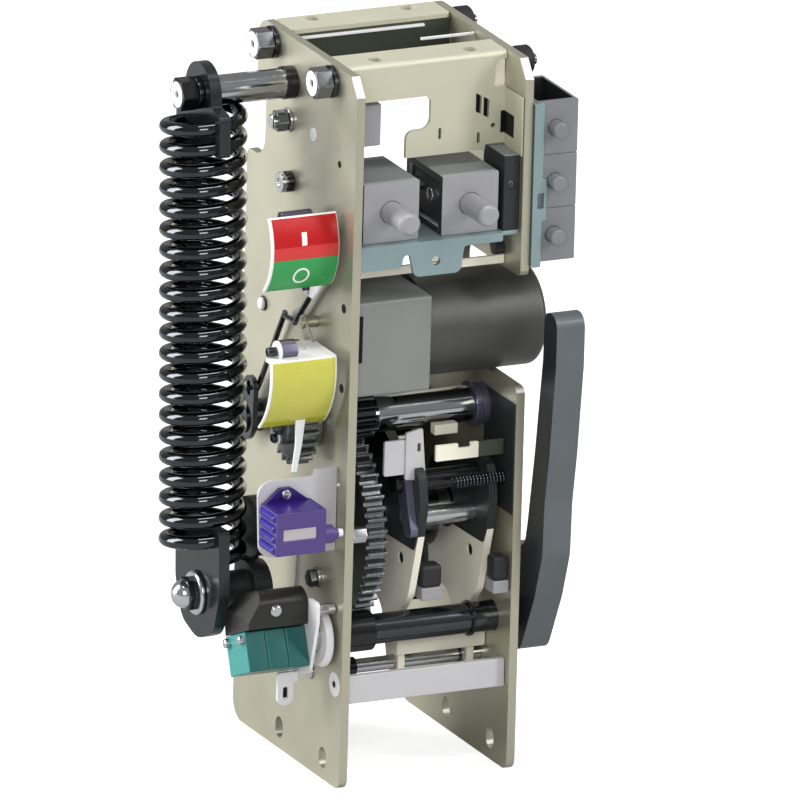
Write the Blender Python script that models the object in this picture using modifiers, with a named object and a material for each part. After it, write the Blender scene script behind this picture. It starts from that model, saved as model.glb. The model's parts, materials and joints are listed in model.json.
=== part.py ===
"""Spring operating mechanism of an indoor vacuum circuit breaker.

Blender 4.5, metres, +Z up. The sizes below are millimetres in the frame of the drawing:
X = 0 is the outer face of the left side plate, Y = 0 is the front edge of both plates, and
Z = 0 is the edge that the plates stand on. The empty called assembly moves the whole to the
middle of its footprint. All shafts run along X.
"""
import math

import bmesh
import bpy
from mathutils import Matrix, Vector

MM = 0.001
GAP = 0.3                     # clearance between seated or running pieces

# Side plates
PLATE = 5.0                   # plate thickness
INSIDE = 97.0                 # clear width between the plates
HEIGHT = 410.0
DEPTH = 141.0                 # plate depth at the foot
DEPTH_TOP = DEPTH - 11.0      # plate depth at the head
NOTCH_FRONT = DEPTH - 23.0    # rear notch: where it starts and its two ends in height
NOTCH_LOW = HEIGHT - 79.0
NOTCH_HIGH = HEIGHT - 40.0
FOOT_HOLE_Y = (22.0, 79.4)    # obround holes along the foot
FOOT_HOLE_Z = 12.4
FOOT_HOLE_WIDTH = 9.5
FOOT_HOLE_LENGTH = 12.0
MOTOR_NOTCH_LOW = 222.0       # opening in the right plate that the motor passes
MOTOR_NOTCH_HIGH = 286.0
MOTOR_NOTCH_BACK = 76.0

# Top panels and the four upper fixing holes
SHEET = 2.5
SKIRT_Y = 24.0
SKIRT_LOW = HEIGHT - 56.0
SKIRT_OPEN_X = 56.0           # upper left opening of the skirt: its end and its upper edge
SKIRT_OPEN_Z = HEIGHT - 21.5
FLANGE_BACK = 46.0
REAR_STRIP_Y = (DEPTH - 43.0, DEPTH - 20.0)
TOP_HOLE_X = (25.7, 83.2)
TOP_HOLE_Y = (33.0, DEPTH - 26.2)
TOP_HOLE_R = 4.1

# Tie rods
TIE_R = 5.0
STUD_R = 4.0
TIE_Z = HEIGHT - 9.5
TIE_Y = (32.0, DEPTH - 31.0)
NUT_FLATS = 16.0
NUT_LENGTH = 10.0
BUSH_R = 8.5
BUSH_LENGTH = 12.0
WASHER_R = 9.2
WASHER = 2.5
STUD_OUT = 3.5

# Main shaft, gears and cam, as (Y, Z) of each axis
MODULE = 2.0
MAIN_AXIS = (66.0, 136.5)
MAIN_R = 11.0
DRIVE_TEETH = 57
PINION_TEETH = 11
PINION_TILT = 18.6            # degrees forward of straight up, main shaft to pinion shaft
INTERMEDIATE_TEETH = 21
MOTOR_TEETH = 12
MOTOR_TILT = -14.0
GEAR_X = (18.0, 29.5)
INNER_PINION_X = (15.0, 34.0)
OUTER_GEAR_X = (-17.0, -7.0)
PINION_R = 8.0
MOTOR_SHAFT_R = 5.0
BACKLASH = 0.45
CAM_X = (66.0, 78.0)
CAM_BASE_R = 22.0
CAM_TURN = 176.0              # degrees of the closing stroke
ROLLER_R = 9.0

# Crank and closing spring
CRANK_R = 36.0
CRANK_PAST = 4.0              # degrees past bottom dead centre
CRANK_X = (-28.6, -17.8)
CRANK_HUB_R = 17.0
CRANK_EYE_R = 15.0
PIN_R = 7.0
SPRING_X = -54.0
HANGER = 6.5
HANGER_HALF = 29.0
HANGER_EYE_TOP = 17.2
HANGER_EYE_LOW = 26.5
ROD_AXIS = (84.0, HEIGHT - 25.0)
ROD_R = 8.0
ROD_THREAD_R = 6.0
ROD_COLLAR_R = 12.5
ROD_COLLAR = 17.0
WIRE_R = 3.8
COIL_R = 20.7
PITCH = 11.75
COIL_START = 28.5             # first coil centre above the crank pin, along the spring
TURNS = 20.0
DOME_NUT = 15.0

# Output shaft
OUTPUT_AXIS = (117.5, 182.5)
OUTPUT_R = 9.0
OUTPUT_SWING = 40.0
FOLLOWER_ARM = 44.0
OUTPUT_ARM = 34.0
LINK_ARM = 20.0
LINK_X = -8.0
LINK_WIRE_R = 1.6
DRUM_ARM = 31.0               # drum axis to the link's hook

# Hand lever and its shaft
HAND_AXIS = (23.8, 83.2)
HAND_R = 8.5
LEVER_X = (113.0, 130.0)
DISC_R = 17.5

# Charging motor and its gearbox
MOTOR_AXIS = (42.0, 251.5)
MOTOR_R = 29.0
MOTOR_END = 126.5
GEARBOX_X = 53.0
GEARBOX_Y = (8.0, 76.0)
GEARBOX_Z = (224.0, 278.5)

# Releases
COIL_Z = (HEIGHT - 97.0, HEIGHT - 63.0)
COIL_Y = (6.0, 53.0)
COIL_X = ((8.5, 42.0), (56.0, 90.0))
PLUNGER_R = 6.25
PLUNGER_OUT = 26.0
PLUNGER_TRAVEL = 8.0          # travel of a plunger, for the depth of its bore
INTERLOCK_X = (92.2, 101.4)
INTERLOCK_Y = (10.0, 31.0)
INTERLOCK_TOP = HEIGHT - 54.0
LIP_Y = 1.0
BOX_X = (109.6, 134.4)
BOX_Y = (0.0, 46.0)
BOX_Z = HEIGHT - 116.6
BOX_STEP = 30.8
BUTTON_R = 4.5
BUTTON_OUT = 8.0
BUTTON_X = 121.0
BUTTON_TRAVEL = 5.0

# Indicators, counter and auxiliary switches
DRUM_SHEET = 1.2
DRUM_AXIS = (45.3, 311.0)
DRUM_R = 34.0
DRUM_X = (-44.0, -3.0)
FLAG_AXIS = (49.0, 241.0)
FLAG_R = 43.0
FLAG_X = (-45.0, -5.0)
FLAG_PIVOT = (46.0, 258.0)
COUNTER_X = (-48.3, -16.4)
COUNTER_Y = (-10.0, 12.0)
COUNTER_Z = (143.4, 168.3)
SWITCH_X = -50.2
SWITCH_WIDTH = 12.0
SWITCH_CENTRE = (28.9, 75.7)
SWITCH_SIZE = (27.0, 22.5)
SWITCH_TILT = -23.0

# Inner cheek plates, cross rods and latches
CHEEK = 4.0
CHEEK_X = (50.0, 92.0)
CROSS_LOW = (40.0, 57.0)
CROSS_REAR = (122.0, 100.0)
CROSS_R = 4.0
GUARD_Y = (136.0, 138.5)      # sheet that hangs behind the latches from the rear cross rod
GUARD_Z = (107.0, 205.0)
GUARD_EAR_X = ((33.0, 39.0), (60.0, 66.0))
CLOSE_LATCH_AXIS = (26.0, 166.0)
TRIP_LATCH_AXIS = (30.0, 144.0)
LATCH_R = 6.0

RIGHT_IN = PLATE + INSIDE
RIGHT_OUT = RIGHT_IN + PLATE
COLORS = {
    "cream": ((0.44, 0.43, 0.33), 0.30, 0.75),
    "panel": ((0.56, 0.53, 0.44), 0.35, 0.60),
    "zinc": ((0.30, 0.41, 0.41), 0.40, 0.60),
    "black steel": ((0.02, 0.02, 0.022), 0.18, 0.70),
    "dark steel": ((0.07, 0.08, 0.09), 0.30, 0.80),
    "gear steel": ((0.20, 0.20, 0.21), 0.32, 0.90),
    "bright steel": ((0.55, 0.56, 0.58), 0.22, 1.00),
    "motor": ((0.10, 0.10, 0.10), 0.45, 0.30),
    "gearbox": ((0.22, 0.22, 0.22), 0.40, 0.30),
    "release": ((0.30, 0.30, 0.31), 0.50, 0.10),
    "purple": ((0.10, 0.05, 0.28), 0.40, 0.00),
    "teal": ((0.05, 0.42, 0.42), 0.40, 0.00),
    "black plastic": ((0.04, 0.04, 0.04), 0.45, 0.00),
    "white": ((0.75, 0.75, 0.74), 0.45, 0.00),
    "red": ((0.55, 0.02, 0.02), 0.40, 0.00),
    "yellow": ((0.52, 0.52, 0.08), 0.40, 0.00),
}


def rad(degrees):
    return math.radians(degrees)


def polar(centre, radius, degrees):
    """A point (Y, Z) at an angle that grows from +Y towards +Z, so positive turns about +X."""
    return (centre[0] + radius * math.cos(rad(degrees)), centre[1] + radius * math.sin(rad(degrees)))


PINION_AXIS = polar(MAIN_AXIS, MODULE * (DRIVE_TEETH + PINION_TEETH) / 2, 90 + PINION_TILT)
MOTOR_PINION_AXIS = polar(PINION_AXIS, MODULE * (INTERMEDIATE_TEETH + MOTOR_TEETH) / 2, 90 + MOTOR_TILT)
PIN_AXIS = polar(MAIN_AXIS, CRANK_R, -90 + CRANK_PAST)
SPRING_LEAN = math.atan2(ROD_AXIS[0] - PIN_AXIS[0], ROD_AXIS[1] - PIN_AXIS[1])
HANGER_X = (SPRING_X - HANGER / 2, SPRING_X + HANGER / 2)
LINK_TRAVEL = 2 * LINK_ARM * math.sin(rad(OUTPUT_SWING / 2))
DRUM_SWING = 2 * math.degrees(math.asin(LINK_TRAVEL / 2 / DRUM_ARM))
LINK_FRONT = polar(DRUM_AXIS, DRUM_ARM, -90 - DRUM_SWING / 2)
LINK_REAR = polar(OUTPUT_AXIS, LINK_ARM, 90 + OUTPUT_SWING / 2)
HOOK_HOLE_R = LINK_WIRE_R + 0.7

X_LOW = SPRING_X - COIL_R - WIRE_R
X_HIGH = BOX_X[1]
Y_LOW = -26.0
Y_HIGH = DEPTH


# Scene set-up

def clear_scene():
    for item in list(bpy.data.objects):
        bpy.data.objects.remove(item, do_unlink=True)


def collection(name):
    group = bpy.data.collections.new(name)
    bpy.context.scene.collection.children.link(group)
    return group


def material(name):
    found = bpy.data.materials.get(name)
    if found:
        return found
    color, roughness, metallic = COLORS[name]
    made = bpy.data.materials.new(name)
    made.use_nodes = True
    shader = made.node_tree.nodes["Principled BSDF"]
    shader.inputs["Base Color"].default_value = (*color, 1.0)
    shader.inputs["Roughness"].default_value = roughness
    shader.inputs["Metallic"].default_value = metallic
    return made


clear_scene()
PARTS = collection("vacuum_breaker_spring_mechanism")
CUTTERS = collection("cutters")


def add(name, data, finish, group=None):
    item = bpy.data.objects.new(name, data)
    (group or PARTS).objects.link(item)
    data.materials.append(material(finish))
    return item


def from_bmesh(name, shape, finish, smooth=True):
    data = bpy.data.meshes.new(name)
    bmesh.ops.recalc_face_normals(shape, faces=shape.faces)
    shape.to_mesh(data)
    shape.free()
    if smooth:
        data.shade_smooth()
        data.set_sharp_from_angle(angle=rad(35))
    return add(name, data, finish)


def bevel(item, width, segments=2, angle=35):
    rounding = item.modifiers.new("rounded edges", "BEVEL")
    rounding.width = width * MM
    rounding.segments = segments
    rounding.limit_method = "ANGLE"
    rounding.angle_limit = rad(angle)
    return item


# Basic forms, all in drawing millimetres

def block(name, x, y, z, finish, rounded=0.0):
    shape = bmesh.new()
    bmesh.ops.create_cube(shape, size=1.0)
    size = Vector((x[1] - x[0], y[1] - y[0], z[1] - z[0])) * MM
    bmesh.ops.scale(shape, vec=size, verts=shape.verts)
    item = from_bmesh(name, shape, finish, smooth=False)
    item.location = Vector((x[0] + x[1], y[0] + y[1], z[0] + z[1])) * MM / 2
    if rounded:
        bevel(item, rounded, 1)
    return item


TURN = {"X": (0.0, rad(90), 0.0), "Y": (rad(-90), 0.0, 0.0), "Z": (0.0, 0.0, 0.0)}


def cylinder(name, axis, centre, span, radius, finish, sides=20, far_radius=None):
    """A round bar along an axis; centre holds the other two coordinates in X, Y, Z order."""
    shape = bmesh.new()
    far = radius if far_radius is None else far_radius
    bmesh.ops.create_cone(shape, cap_ends=True, segments=sides, radius1=radius * MM,
                          radius2=far * MM, depth=(span[1] - span[0]) * MM)
    item = from_bmesh(name, shape, finish)
    item.rotation_euler = TURN[axis]
    middle = (span[0] + span[1]) / 2
    place = {"X": (middle, *centre), "Y": (centre[0], middle, centre[-1]), "Z": (*centre, middle)}
    item.location = Vector(place[axis]) * MM
    return item


def turned(name, centre, profile, finish, sides=18, axis="X"):
    """A turned piece: (radius, place along the axis) pairs, from the high end to the low end."""
    data = bpy.data.meshes.new(name)
    points = [(radius * MM, 0.0, along * MM) for radius, along in profile]
    edges = [(index, index + 1) for index in range(len(points) - 1)]
    if profile[0][0] > 0:
        edges.append((len(points) - 1, 0))
    data.from_pydata(points, edges, [])
    item = add(name, data, finish)
    spin = item.modifiers.new("turned", "SCREW")
    spin.steps = sides
    spin.render_steps = sides
    spin.use_merge_vertices = True
    spin.merge_threshold = 0.00001
    spin.use_smooth_shade = False
    item.rotation_euler = TURN[axis]
    place = {"X": (0.0, *centre), "Y": (centre[0], 0.0, centre[-1]), "Z": (*centre, 0.0)}
    item.location = Vector(place[axis]) * MM
    return item


def rounded_outline(corners):
    """Corner points (u, v, radius) in order; each radius becomes an arc of three chords."""
    points = []
    count = len(corners)
    for index, (u, v, radius) in enumerate(corners):
        here = Vector((u, v))
        if radius <= 0:
            points.append(here)
            continue
        before = (Vector(corners[index - 1][:2]) - here).normalized()
        after = (Vector(corners[(index + 1) % count][:2]) - here).normalized()
        half = before.angle(after) / 2
        reach = radius / math.tan(half)
        middle = here + (before + after).normalized() * (radius / math.sin(half))
        start = here + before * reach - middle
        sweep = start.angle_signed(here + after * reach - middle)
        for step in range(4):
            points.append(middle + Matrix.Rotation(-sweep * step / 3, 2) @ start)
    return [(point[0], point[1]) for point in points]


def circle(centre, radius, sides=14, stretch=0.0):
    """A round hole, or with a stretch an obround one that is longer along v."""
    points = []
    for step in range(sides):
        angle = 2 * math.pi * (step + 0.5) / sides
        lift = math.copysign(stretch / 2, math.sin(angle))
        points.append((centre[0] + radius * math.cos(angle), centre[1] + radius * math.sin(angle) + lift))
    return points


def flat(name, facing, outlines, span, finish):
    """A flat piece cut from plate. facing X: outlines are (Y, Z); Y: (X, Z); Z: (X, Y)."""
    data = bpy.data.curves.new(name, "CURVE")
    data.dimensions = "2D"
    data.fill_mode = "BOTH"
    data.extrude = (span[1] - span[0]) * MM / 2
    for outline in outlines:
        path = data.splines.new("POLY")
        path.points.add(len(outline) - 1)
        for point, (u, v) in zip(path.points, outline):
            point.co = (u * MM, v * MM, 0.0, 1.0)
        path.use_cyclic_u = True
    item = add(name, data, finish)
    middle = (span[0] + span[1]) / 2 * MM
    if facing == "X":
        item.rotation_euler = (rad(90), 0.0, rad(90))
        item.location = (middle, 0.0, 0.0)
    elif facing == "Y":
        item.rotation_euler = (rad(90), 0.0, 0.0)
        item.location = (0.0, middle, 0.0)
    else:
        item.location = (0.0, 0.0, middle)
    return item


def solid(item):
    """A curve's filled form as a mesh, so that it can be cut and joined."""
    bpy.context.view_layer.update()
    data = bpy.data.meshes.new_from_object(item.evaluated_get(bpy.context.evaluated_depsgraph_get()))
    shape = bmesh.new()
    shape.from_mesh(data)
    bmesh.ops.remove_doubles(shape, verts=shape.verts, dist=0.000001)
    bmesh.ops.recalc_face_normals(shape, faces=shape.faces)
    shape.to_mesh(data)
    shape.free()
    name = item.name
    place = item.matrix_world.copy()
    bpy.data.objects.remove(item, do_unlink=True)
    made = bpy.data.objects.new(name, data)
    PARTS.objects.link(made)
    made.matrix_world = place
    return made


def combine(item, tools, operation):
    for tool in tools:
        change = item.modifiers.new(operation.lower(), "BOOLEAN")
        change.operation = operation
        change.object = tool
        for group in list(tool.users_collection):
            group.objects.unlink(tool)
        CUTTERS.objects.link(tool)
        tool.hide_render = True
        tool.display_type = "WIRE"
    return item


def cut(item, *tools):
    return combine(item, tools, "DIFFERENCE")


def join(item, *tools):
    return combine(item, tools, "UNION")


def wire(name, points, radius, finish, cyclic=False):
    data = bpy.data.curves.new(name, "CURVE")
    data.dimensions = "3D"
    data.bevel_depth = radius * MM
    data.bevel_resolution = 2
    data.use_fill_caps = True
    path = data.splines.new("POLY")
    path.points.add(len(points) - 1)
    for point, place in zip(path.points, points):
        point.co = (*[value * MM for value in place], 1.0)
    path.use_cyclic_u = cyclic
    return add(name, data, finish)


def arc(centre, radius, first, last, steps=8):
    return [polar(centre, radius, first + (last - first) * step / steps) for step in range(steps + 1)]


def band(centre, radius, thickness, first, last, steps=12):
    """The section of a curved sheet: out along its outer face and back along its inner one."""
    return arc(centre, radius, first, last, steps) + arc(centre, radius - thickness, last, first, steps)


def pivot(name, x, centre):
    """An empty on a joint's axis; the pieces that move there hang from it, with their cutters."""
    item = bpy.data.objects.new(name, None)
    item.empty_display_size = 0.01
    PARTS.objects.link(item)
    item.location = Vector((x, *centre)) * MM
    return item


def hang(carrier, *items):
    for item in items:
        item.parent = carrier
        item.location = item.location - carrier.location
        for change in item.modifiers:
            if change.type == "BOOLEAN":
                hang(carrier, change.object)


# Gear teeth

def gear_outline(teeth, phase):
    """Involute teeth, stub height, one of them centred on the phase angle in degrees."""
    pitch = MODULE * teeth / 2
    tip = pitch + 0.85 * MODULE
    root = pitch - 1.15 * MODULE
    base = pitch * math.cos(rad(20))
    half = math.pi / (2 * teeth) - BACKLASH / (2 * pitch)
    roll = math.tan(rad(20)) - rad(20)

    def half_width(radius):
        slope = math.acos(min(1.0, base / radius))
        return half + roll - (math.tan(slope) - slope)

    flank = [(root, half_width(max(root, base)) * (0.85 if base > root else 1.0))]
    if base > root:
        flank.append((base, half_width(base)))
    flank += [(pitch, half_width(pitch)), (tip, half_width(tip))]
    points = []
    for tooth in range(teeth):
        centre = rad(phase) + 2 * math.pi * tooth / teeth
        for radius, width in flank:
            points.append((radius * math.cos(centre - width), radius * math.sin(centre - width)))
        for radius, width in reversed(flank):
            points.append((radius * math.cos(centre + width), radius * math.sin(centre + width)))
    return points


def shifted(points, centre):
    return [(u + centre[0], v + centre[1]) for u, v in points]


def direction(start, end):
    return math.degrees(math.atan2(end[1] - start[1], end[0] - start[0]))


TOWARDS_PINION = direction(MAIN_AXIS, PINION_AXIS)
TOWARDS_MOTOR = direction(PINION_AXIS, MOTOR_PINION_AXIS)


# Frame

def plate_outline(motor_notch):
    corners = [(0, 0, 6), (DEPTH, 0, 12), (DEPTH, NOTCH_LOW, 4), (NOTCH_FRONT, NOTCH_LOW, 12),
               (NOTCH_FRONT, NOTCH_HIGH, 2), (DEPTH_TOP, NOTCH_HIGH, 3), (DEPTH_TOP, HEIGHT, 11),
               (8, HEIGHT, 1), (0, HEIGHT - 9, 2)]
    if motor_notch:
        corners += [(0, MOTOR_NOTCH_HIGH, 4), (MOTOR_NOTCH_BACK, MOTOR_NOTCH_HIGH, 8),
                    (MOTOR_NOTCH_BACK, MOTOR_NOTCH_LOW, 8), (0, MOTOR_NOTCH_LOW, 5)]
    return rounded_outline(corners)


def plate_holes():
    holes = [circle((y, FOOT_HOLE_Z), FOOT_HOLE_WIDTH / 2, 12, FOOT_HOLE_LENGTH - FOOT_HOLE_WIDTH)
             for y in FOOT_HOLE_Y]
    holes += [circle((y, TIE_Z), STUD_R + GAP) for y in TIE_Y]
    holes += [circle(MAIN_AXIS, MAIN_R + 3 + GAP, 20), circle(HAND_AXIS, HAND_R + GAP)]
    holes += [circle(OUTPUT_AXIS, OUTPUT_R + GAP)]
    holes += [circle(CROSS_LOW, CROSS_R + GAP), circle(CROSS_REAR, CROSS_R + GAP)]
    return holes


def side_plates():
    left = [circle(PINION_AXIS, PINION_R + GAP), circle(MOTOR_PINION_AXIS, MOTOR_SHAFT_R + GAP)]
    left += [circle((20.5, SKIRT_LOW + 2), 2.0, 8), circle((10, 276), 2.0, 8), circle((10, 230), 2.0, 8)]
    left += [circle((11.8, 178), 2.5, 12, 7.0), circle((55, NOTCH_HIGH - 7), 4.0, 12)]
    left += [circle(ROD_AXIS, ROD_THREAD_R + GAP), circle(DRUM_AXIS, 3.0 + GAP, 12)]
    left += [circle(FLAG_PIVOT, 3.0 + GAP, 12)]
    flat("left_side_plate", "X", [plate_outline(False)] + plate_holes() + left, (0, PLATE), "cream")
    right = [circle(PINION_AXIS, PINION_R + GAP)]
    low, high = NOTCH_HIGH - 7, NOTCH_HIGH + 5
    right.append(rounded_outline([(13.5, low, 0.6), (27.5, low, 0.6), (27.5, high, 0.6), (13.5, high, 0.6)]))
    flat("right_side_plate", "X", [plate_outline(True)] + plate_holes() + right,
         (RIGHT_IN, RIGHT_OUT), "cream")


def top_panels():
    low, high = PLATE + GAP, RIGHT_IN - GAP
    out_x, out_z = SKIRT_OPEN_X, SKIRT_OPEN_Z
    bend = 3.0
    section = rounded_outline([(SKIRT_Y, SKIRT_LOW, 0), (SKIRT_Y + SHEET, SKIRT_LOW, 0),
                               (SKIRT_Y + SHEET, HEIGHT - SHEET, bend - SHEET),
                               (FLANGE_BACK, HEIGHT - SHEET, 0), (FLANGE_BACK, HEIGHT, 0),
                               (SKIRT_Y, HEIGHT, bend)])
    front = solid(flat("top_front_panel", "X", [section], (low, high), "panel"))
    openings = [
        rounded_outline([(low - 5, out_z, 0), (out_x, out_z, 4), (out_x, out_z - 19, 6),
                         (out_x - 14.5, out_z - 19, 5), (out_x - 14.5, SKIRT_LOW - 5, 0),
                         (low - 5, SKIRT_LOW - 5, 0)]),
        rounded_outline([(high - 12, SKIRT_LOW + 3, 1), (high + 5, SKIRT_LOW + 3, 0),
                         (high + 5, SKIRT_LOW - 5, 0), (high - 12, SKIRT_LOW - 5, 0)]),
        rounded_outline([(high - 7.5, HEIGHT - 4.5, 5), (high + 5, HEIGHT - 4.5, 0),
                         (high + 5, HEIGHT - 20.5, 0), (high - 7.5, HEIGHT - 20.5, 1)]),
        [(83.4, out_z - 1.3), (83.4, out_z - 12), (91.6, out_z - 16.7), (91.6, out_z - 6)],
        circle((94.3, out_z - 21), 1.4, 8),
    ]
    for outline in openings:
        cut(front, solid(flat("panel_opening", "Y", [outline], (SKIRT_Y - 3, SKIRT_Y + SHEET + 3), "panel")))
    for x in TOP_HOLE_X:
        cut(front, cylinder("fixing_hole", "Z", (x, TOP_HOLE_Y[0]), (HEIGHT - 8, HEIGHT + 3), TOP_HOLE_R,
                            "panel", 20))
    rear = rounded_outline([(low, REAR_STRIP_Y[0], 3), (high, REAR_STRIP_Y[0], 3),
                            (high, REAR_STRIP_Y[1], 3), (low, REAR_STRIP_Y[1], 3)])
    rear_holes = [circle((x, TOP_HOLE_Y[1]), TOP_HOLE_R) for x in TOP_HOLE_X]
    flat("top_rear_strip", "Z", [rear] + rear_holes, (HEIGHT - SHEET, HEIGHT), "panel")


def hexagon(name, centre, span, flats, finish):
    return cylinder(name, "X", centre, span, flats / math.sqrt(3), finish, sides=6)


def tie_rods():
    for name, y in zip(("front", "rear"), TIE_Y):
        centre = (y, TIE_Z)
        left = -GAP - WASHER - NUT_LENGTH
        right = RIGHT_OUT + GAP + BUSH_LENGTH
        bolt = turned(f"{name}_tie_rod", centre,
                      [(0, right + STUD_OUT), (STUD_R - 1, right + STUD_OUT), (STUD_R - 1, right), (STUD_R, right),
                       (STUD_R, RIGHT_IN - GAP), (TIE_R, RIGHT_IN - GAP), (TIE_R, PLATE + GAP),
                       (STUD_R, PLATE + GAP), (STUD_R, -GAP), (WASHER_R, -GAP), (WASHER_R, -GAP - WASHER),
                       (STUD_R, -GAP - WASHER), (STUD_R, left + 4), (0, left + 4)], "dark steel")
        nut = hexagon("tie_nut", centre, (left, -GAP - WASHER + 0.5), NUT_FLATS, "dark steel")
        cut(nut, cylinder("socket", "X", centre, (left - 5, left + 2), STUD_R, "dark steel", 16))
        join(bolt, nut)
        turned(f"{name}_rubber_bush", centre,
               [(STUD_R + GAP, right), (BUSH_R - 1.5, right), (BUSH_R, right - 1.5),
                (BUSH_R, RIGHT_OUT + GAP + 3), (BUSH_R - 1, RIGHT_OUT + GAP + 3),
                (BUSH_R - 1, RIGHT_OUT + GAP), (STUD_R + GAP, RIGHT_OUT + GAP)], "black plastic")


# Main shaft, gears, cam and crank

def main_shaft(carrier):
    low, high = CRANK_X[0] + 2, RIGHT_OUT + 3
    journal = MAIN_R - 2
    shaft = turned("main_shaft", MAIN_AXIS,
                   [(0, high), (MAIN_R - 1, high), (MAIN_R, high - 1), (MAIN_R, CRANK_X[1] + GAP),
                    (journal, CRANK_X[1] + GAP), (journal, low), (0, low)], "bright steel", 20)
    gear = flat("drive_gear", "X",
                [shifted(gear_outline(DRIVE_TEETH, TOWARDS_PINION), MAIN_AXIS),
                 circle(MAIN_AXIS, MAIN_R + GAP, 20)]
                + [circle(polar(MAIN_AXIS, 36, 30 + 60 * step), 8.5, 12) for step in range(6)],
                GEAR_X, "gear steel")
    join(shaft, solid(flat("closing_cam", "X", [cam_outline()], CAM_X, "dark steel")))
    hang(carrier, shaft, gear, *crank())


def crank():
    """An eye and a hub with a narrow web behind them, which clears the counter."""
    arm = solid(flat("charging_crank", "X",
                     [arc(PIN_AXIS, CRANK_EYE_R, 20, -290, 16) + arc(MAIN_AXIS, CRANK_HUB_R, -60, -385, 16)],
                     CRANK_X, "black steel"))
    pin = turned("crank_pin", PIN_AXIS,
                 [(0, CRANK_X[0] + 1), (10, CRANK_X[0] + 1), (10, HANGER_X[1] + GAP),
                  (PIN_R, HANGER_X[1] + GAP), (PIN_R, HANGER_X[0] - GAP - WASHER - 6),
                  (0, HANGER_X[0] - GAP - WASHER - 6)], "black steel")
    join(arm, pin)
    cut(arm, cylinder("bore", "X", MAIN_AXIS, (CRANK_X[0] + 2 - GAP, CRANK_X[1] + 5), MAIN_R - 2 + GAP,
                      "black steel"))
    face = HANGER_X[0] - GAP
    nut = turned("crank_pin_nut", PIN_AXIS,
                 [(PIN_R + GAP, face), (12.5, face), (12.5, face - WASHER), (9.5, face - WASHER),
                  (9.5, face - WASHER - 4), (8, face - WASHER - 8), (5, face - WASHER - 13.5),
                  (3, face - WASHER - DOME_NUT), (0, face - WASHER - DOME_NUT),
                  (0, face - WASHER - 7), (PIN_R + GAP, face - WASHER - 7), (PIN_R + GAP, face - 1)],
                 "bright steel")
    return arm, nut


def roller_path(turn):
    """Centre of the follower's roller, as (Y, Z), after the main shaft turned by an angle."""
    return polar(OUTPUT_AXIS, FOLLOWER_ARM, FOLLOWER_REST - turn * OUTPUT_SWING / CAM_TURN)


def follower_rest():
    """Angle of the follower's arm at which its roller touches the cam's base circle."""
    reach = math.dist(OUTPUT_AXIS, MAIN_AXIS)
    touch = CAM_BASE_R + ROLLER_R + 2 * GAP
    opening = math.acos((reach ** 2 + FOLLOWER_ARM ** 2 - touch ** 2) / (2 * reach * FOLLOWER_ARM))
    return direction(OUTPUT_AXIS, MAIN_AXIS) - math.degrees(opening)


FOLLOWER_REST = follower_rest()


def cam_outline():
    """The roller's path seen from the turning cam, moved in by the roller's radius."""
    centres = []
    for step in range(-3, 28):
        turn = CAM_TURN * step / 24
        y, z = roller_path(max(0.0, min(CAM_TURN, turn)))
        angle = direction(MAIN_AXIS, (y, z)) - turn
        centres.append(Vector(polar((0, 0), math.dist(MAIN_AXIS, (y, z)), angle)))
    points = []
    for before, here, after in zip(centres, centres[1:], centres[2:]):
        inward = (after - before).orthogonal().normalized()
        if inward.dot(here) > 0:
            inward.negate()
        points.append(here + inward * (ROLLER_R + 2 * GAP))
    start = math.degrees(math.atan2(points[-1].y, points[-1].x))
    end = math.degrees(math.atan2(points[0].y, points[0].x))
    start, end = start + (0 if start > end - 360 else 360), end
    back = [Vector(polar((0, 0), CAM_BASE_R, start + (end - 360 - start) * step / 9)) for step in range(1, 9)]
    return shifted([(p.x, p.y) for p in points + back], MAIN_AXIS)


def bushes():
    bore, sleeve, flange = MAIN_R + GAP, MAIN_R + 3, MAIN_R + 7
    turned("left_main_bush", MAIN_AXIS,
           [(flange, PLATE + 3), (flange, PLATE + GAP), (sleeve, PLATE + GAP), (sleeve, 0), (bore, 0),
            (bore, PLATE + 3)], "bright steel", 20)
    turned("right_main_bush", MAIN_AXIS,
           [(sleeve, RIGHT_OUT), (sleeve, RIGHT_IN - GAP), (flange, RIGHT_IN - GAP), (flange, RIGHT_IN - 3),
            (bore, RIGHT_IN - 3), (bore, RIGHT_OUT)], "bright steel", 20)


# Gears on the pinion shaft and the motor shaft

def pinion_gears(carrier, motor_carrier):
    pinion = solid(flat("pinion_shaft", "X",
                        [shifted(gear_outline(PINION_TEETH, TOWARDS_PINION + 180 + 180 / PINION_TEETH),
                                 PINION_AXIS)], INNER_PINION_X, "gear steel"))
    join(pinion, cylinder("shaft", "X", PINION_AXIS, (OUTER_GEAR_X[0] - 1.5, RIGHT_IN - 1), PINION_R,
                          "bright steel", 20))
    join(pinion, solid(flat("intermediate_gear", "X",
                            [shifted(gear_outline(INTERMEDIATE_TEETH, TOWARDS_MOTOR), PINION_AXIS)],
                            OUTER_GEAR_X, "gear steel")))
    hang(carrier, pinion)
    motor = solid(flat("motor_pinion", "X",
                       [shifted(gear_outline(MOTOR_TEETH, TOWARDS_MOTOR + 180 + 180 / MOTOR_TEETH),
                                MOTOR_PINION_AXIS)], OUTER_GEAR_X, "gear steel"))
    join(motor, cylinder("motor_shaft", "X", MOTOR_PINION_AXIS, (OUTER_GEAR_X[0] - 4, PLATE), MOTOR_SHAFT_R,
                         "bright steel", 20))
    hang(motor_carrier, motor)


def pinion_bearing():
    y, z = PINION_AXIS
    start = RIGHT_IN - 22
    housing = block("pinion_bearing", (RIGHT_IN - 10, RIGHT_IN - GAP), (y - 17, y + 17), (z - 17, z + 17),
                    "dark steel", 3)
    join(housing, cylinder("collar", "X", PINION_AXIS, (start, RIGHT_IN - 9), 14, "dark steel", 20))
    cut(housing, cylinder("bore", "X", PINION_AXIS, (start - 5, RIGHT_OUT), PINION_R + GAP, "dark steel", 20))


# Closing spring and its hangers

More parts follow.
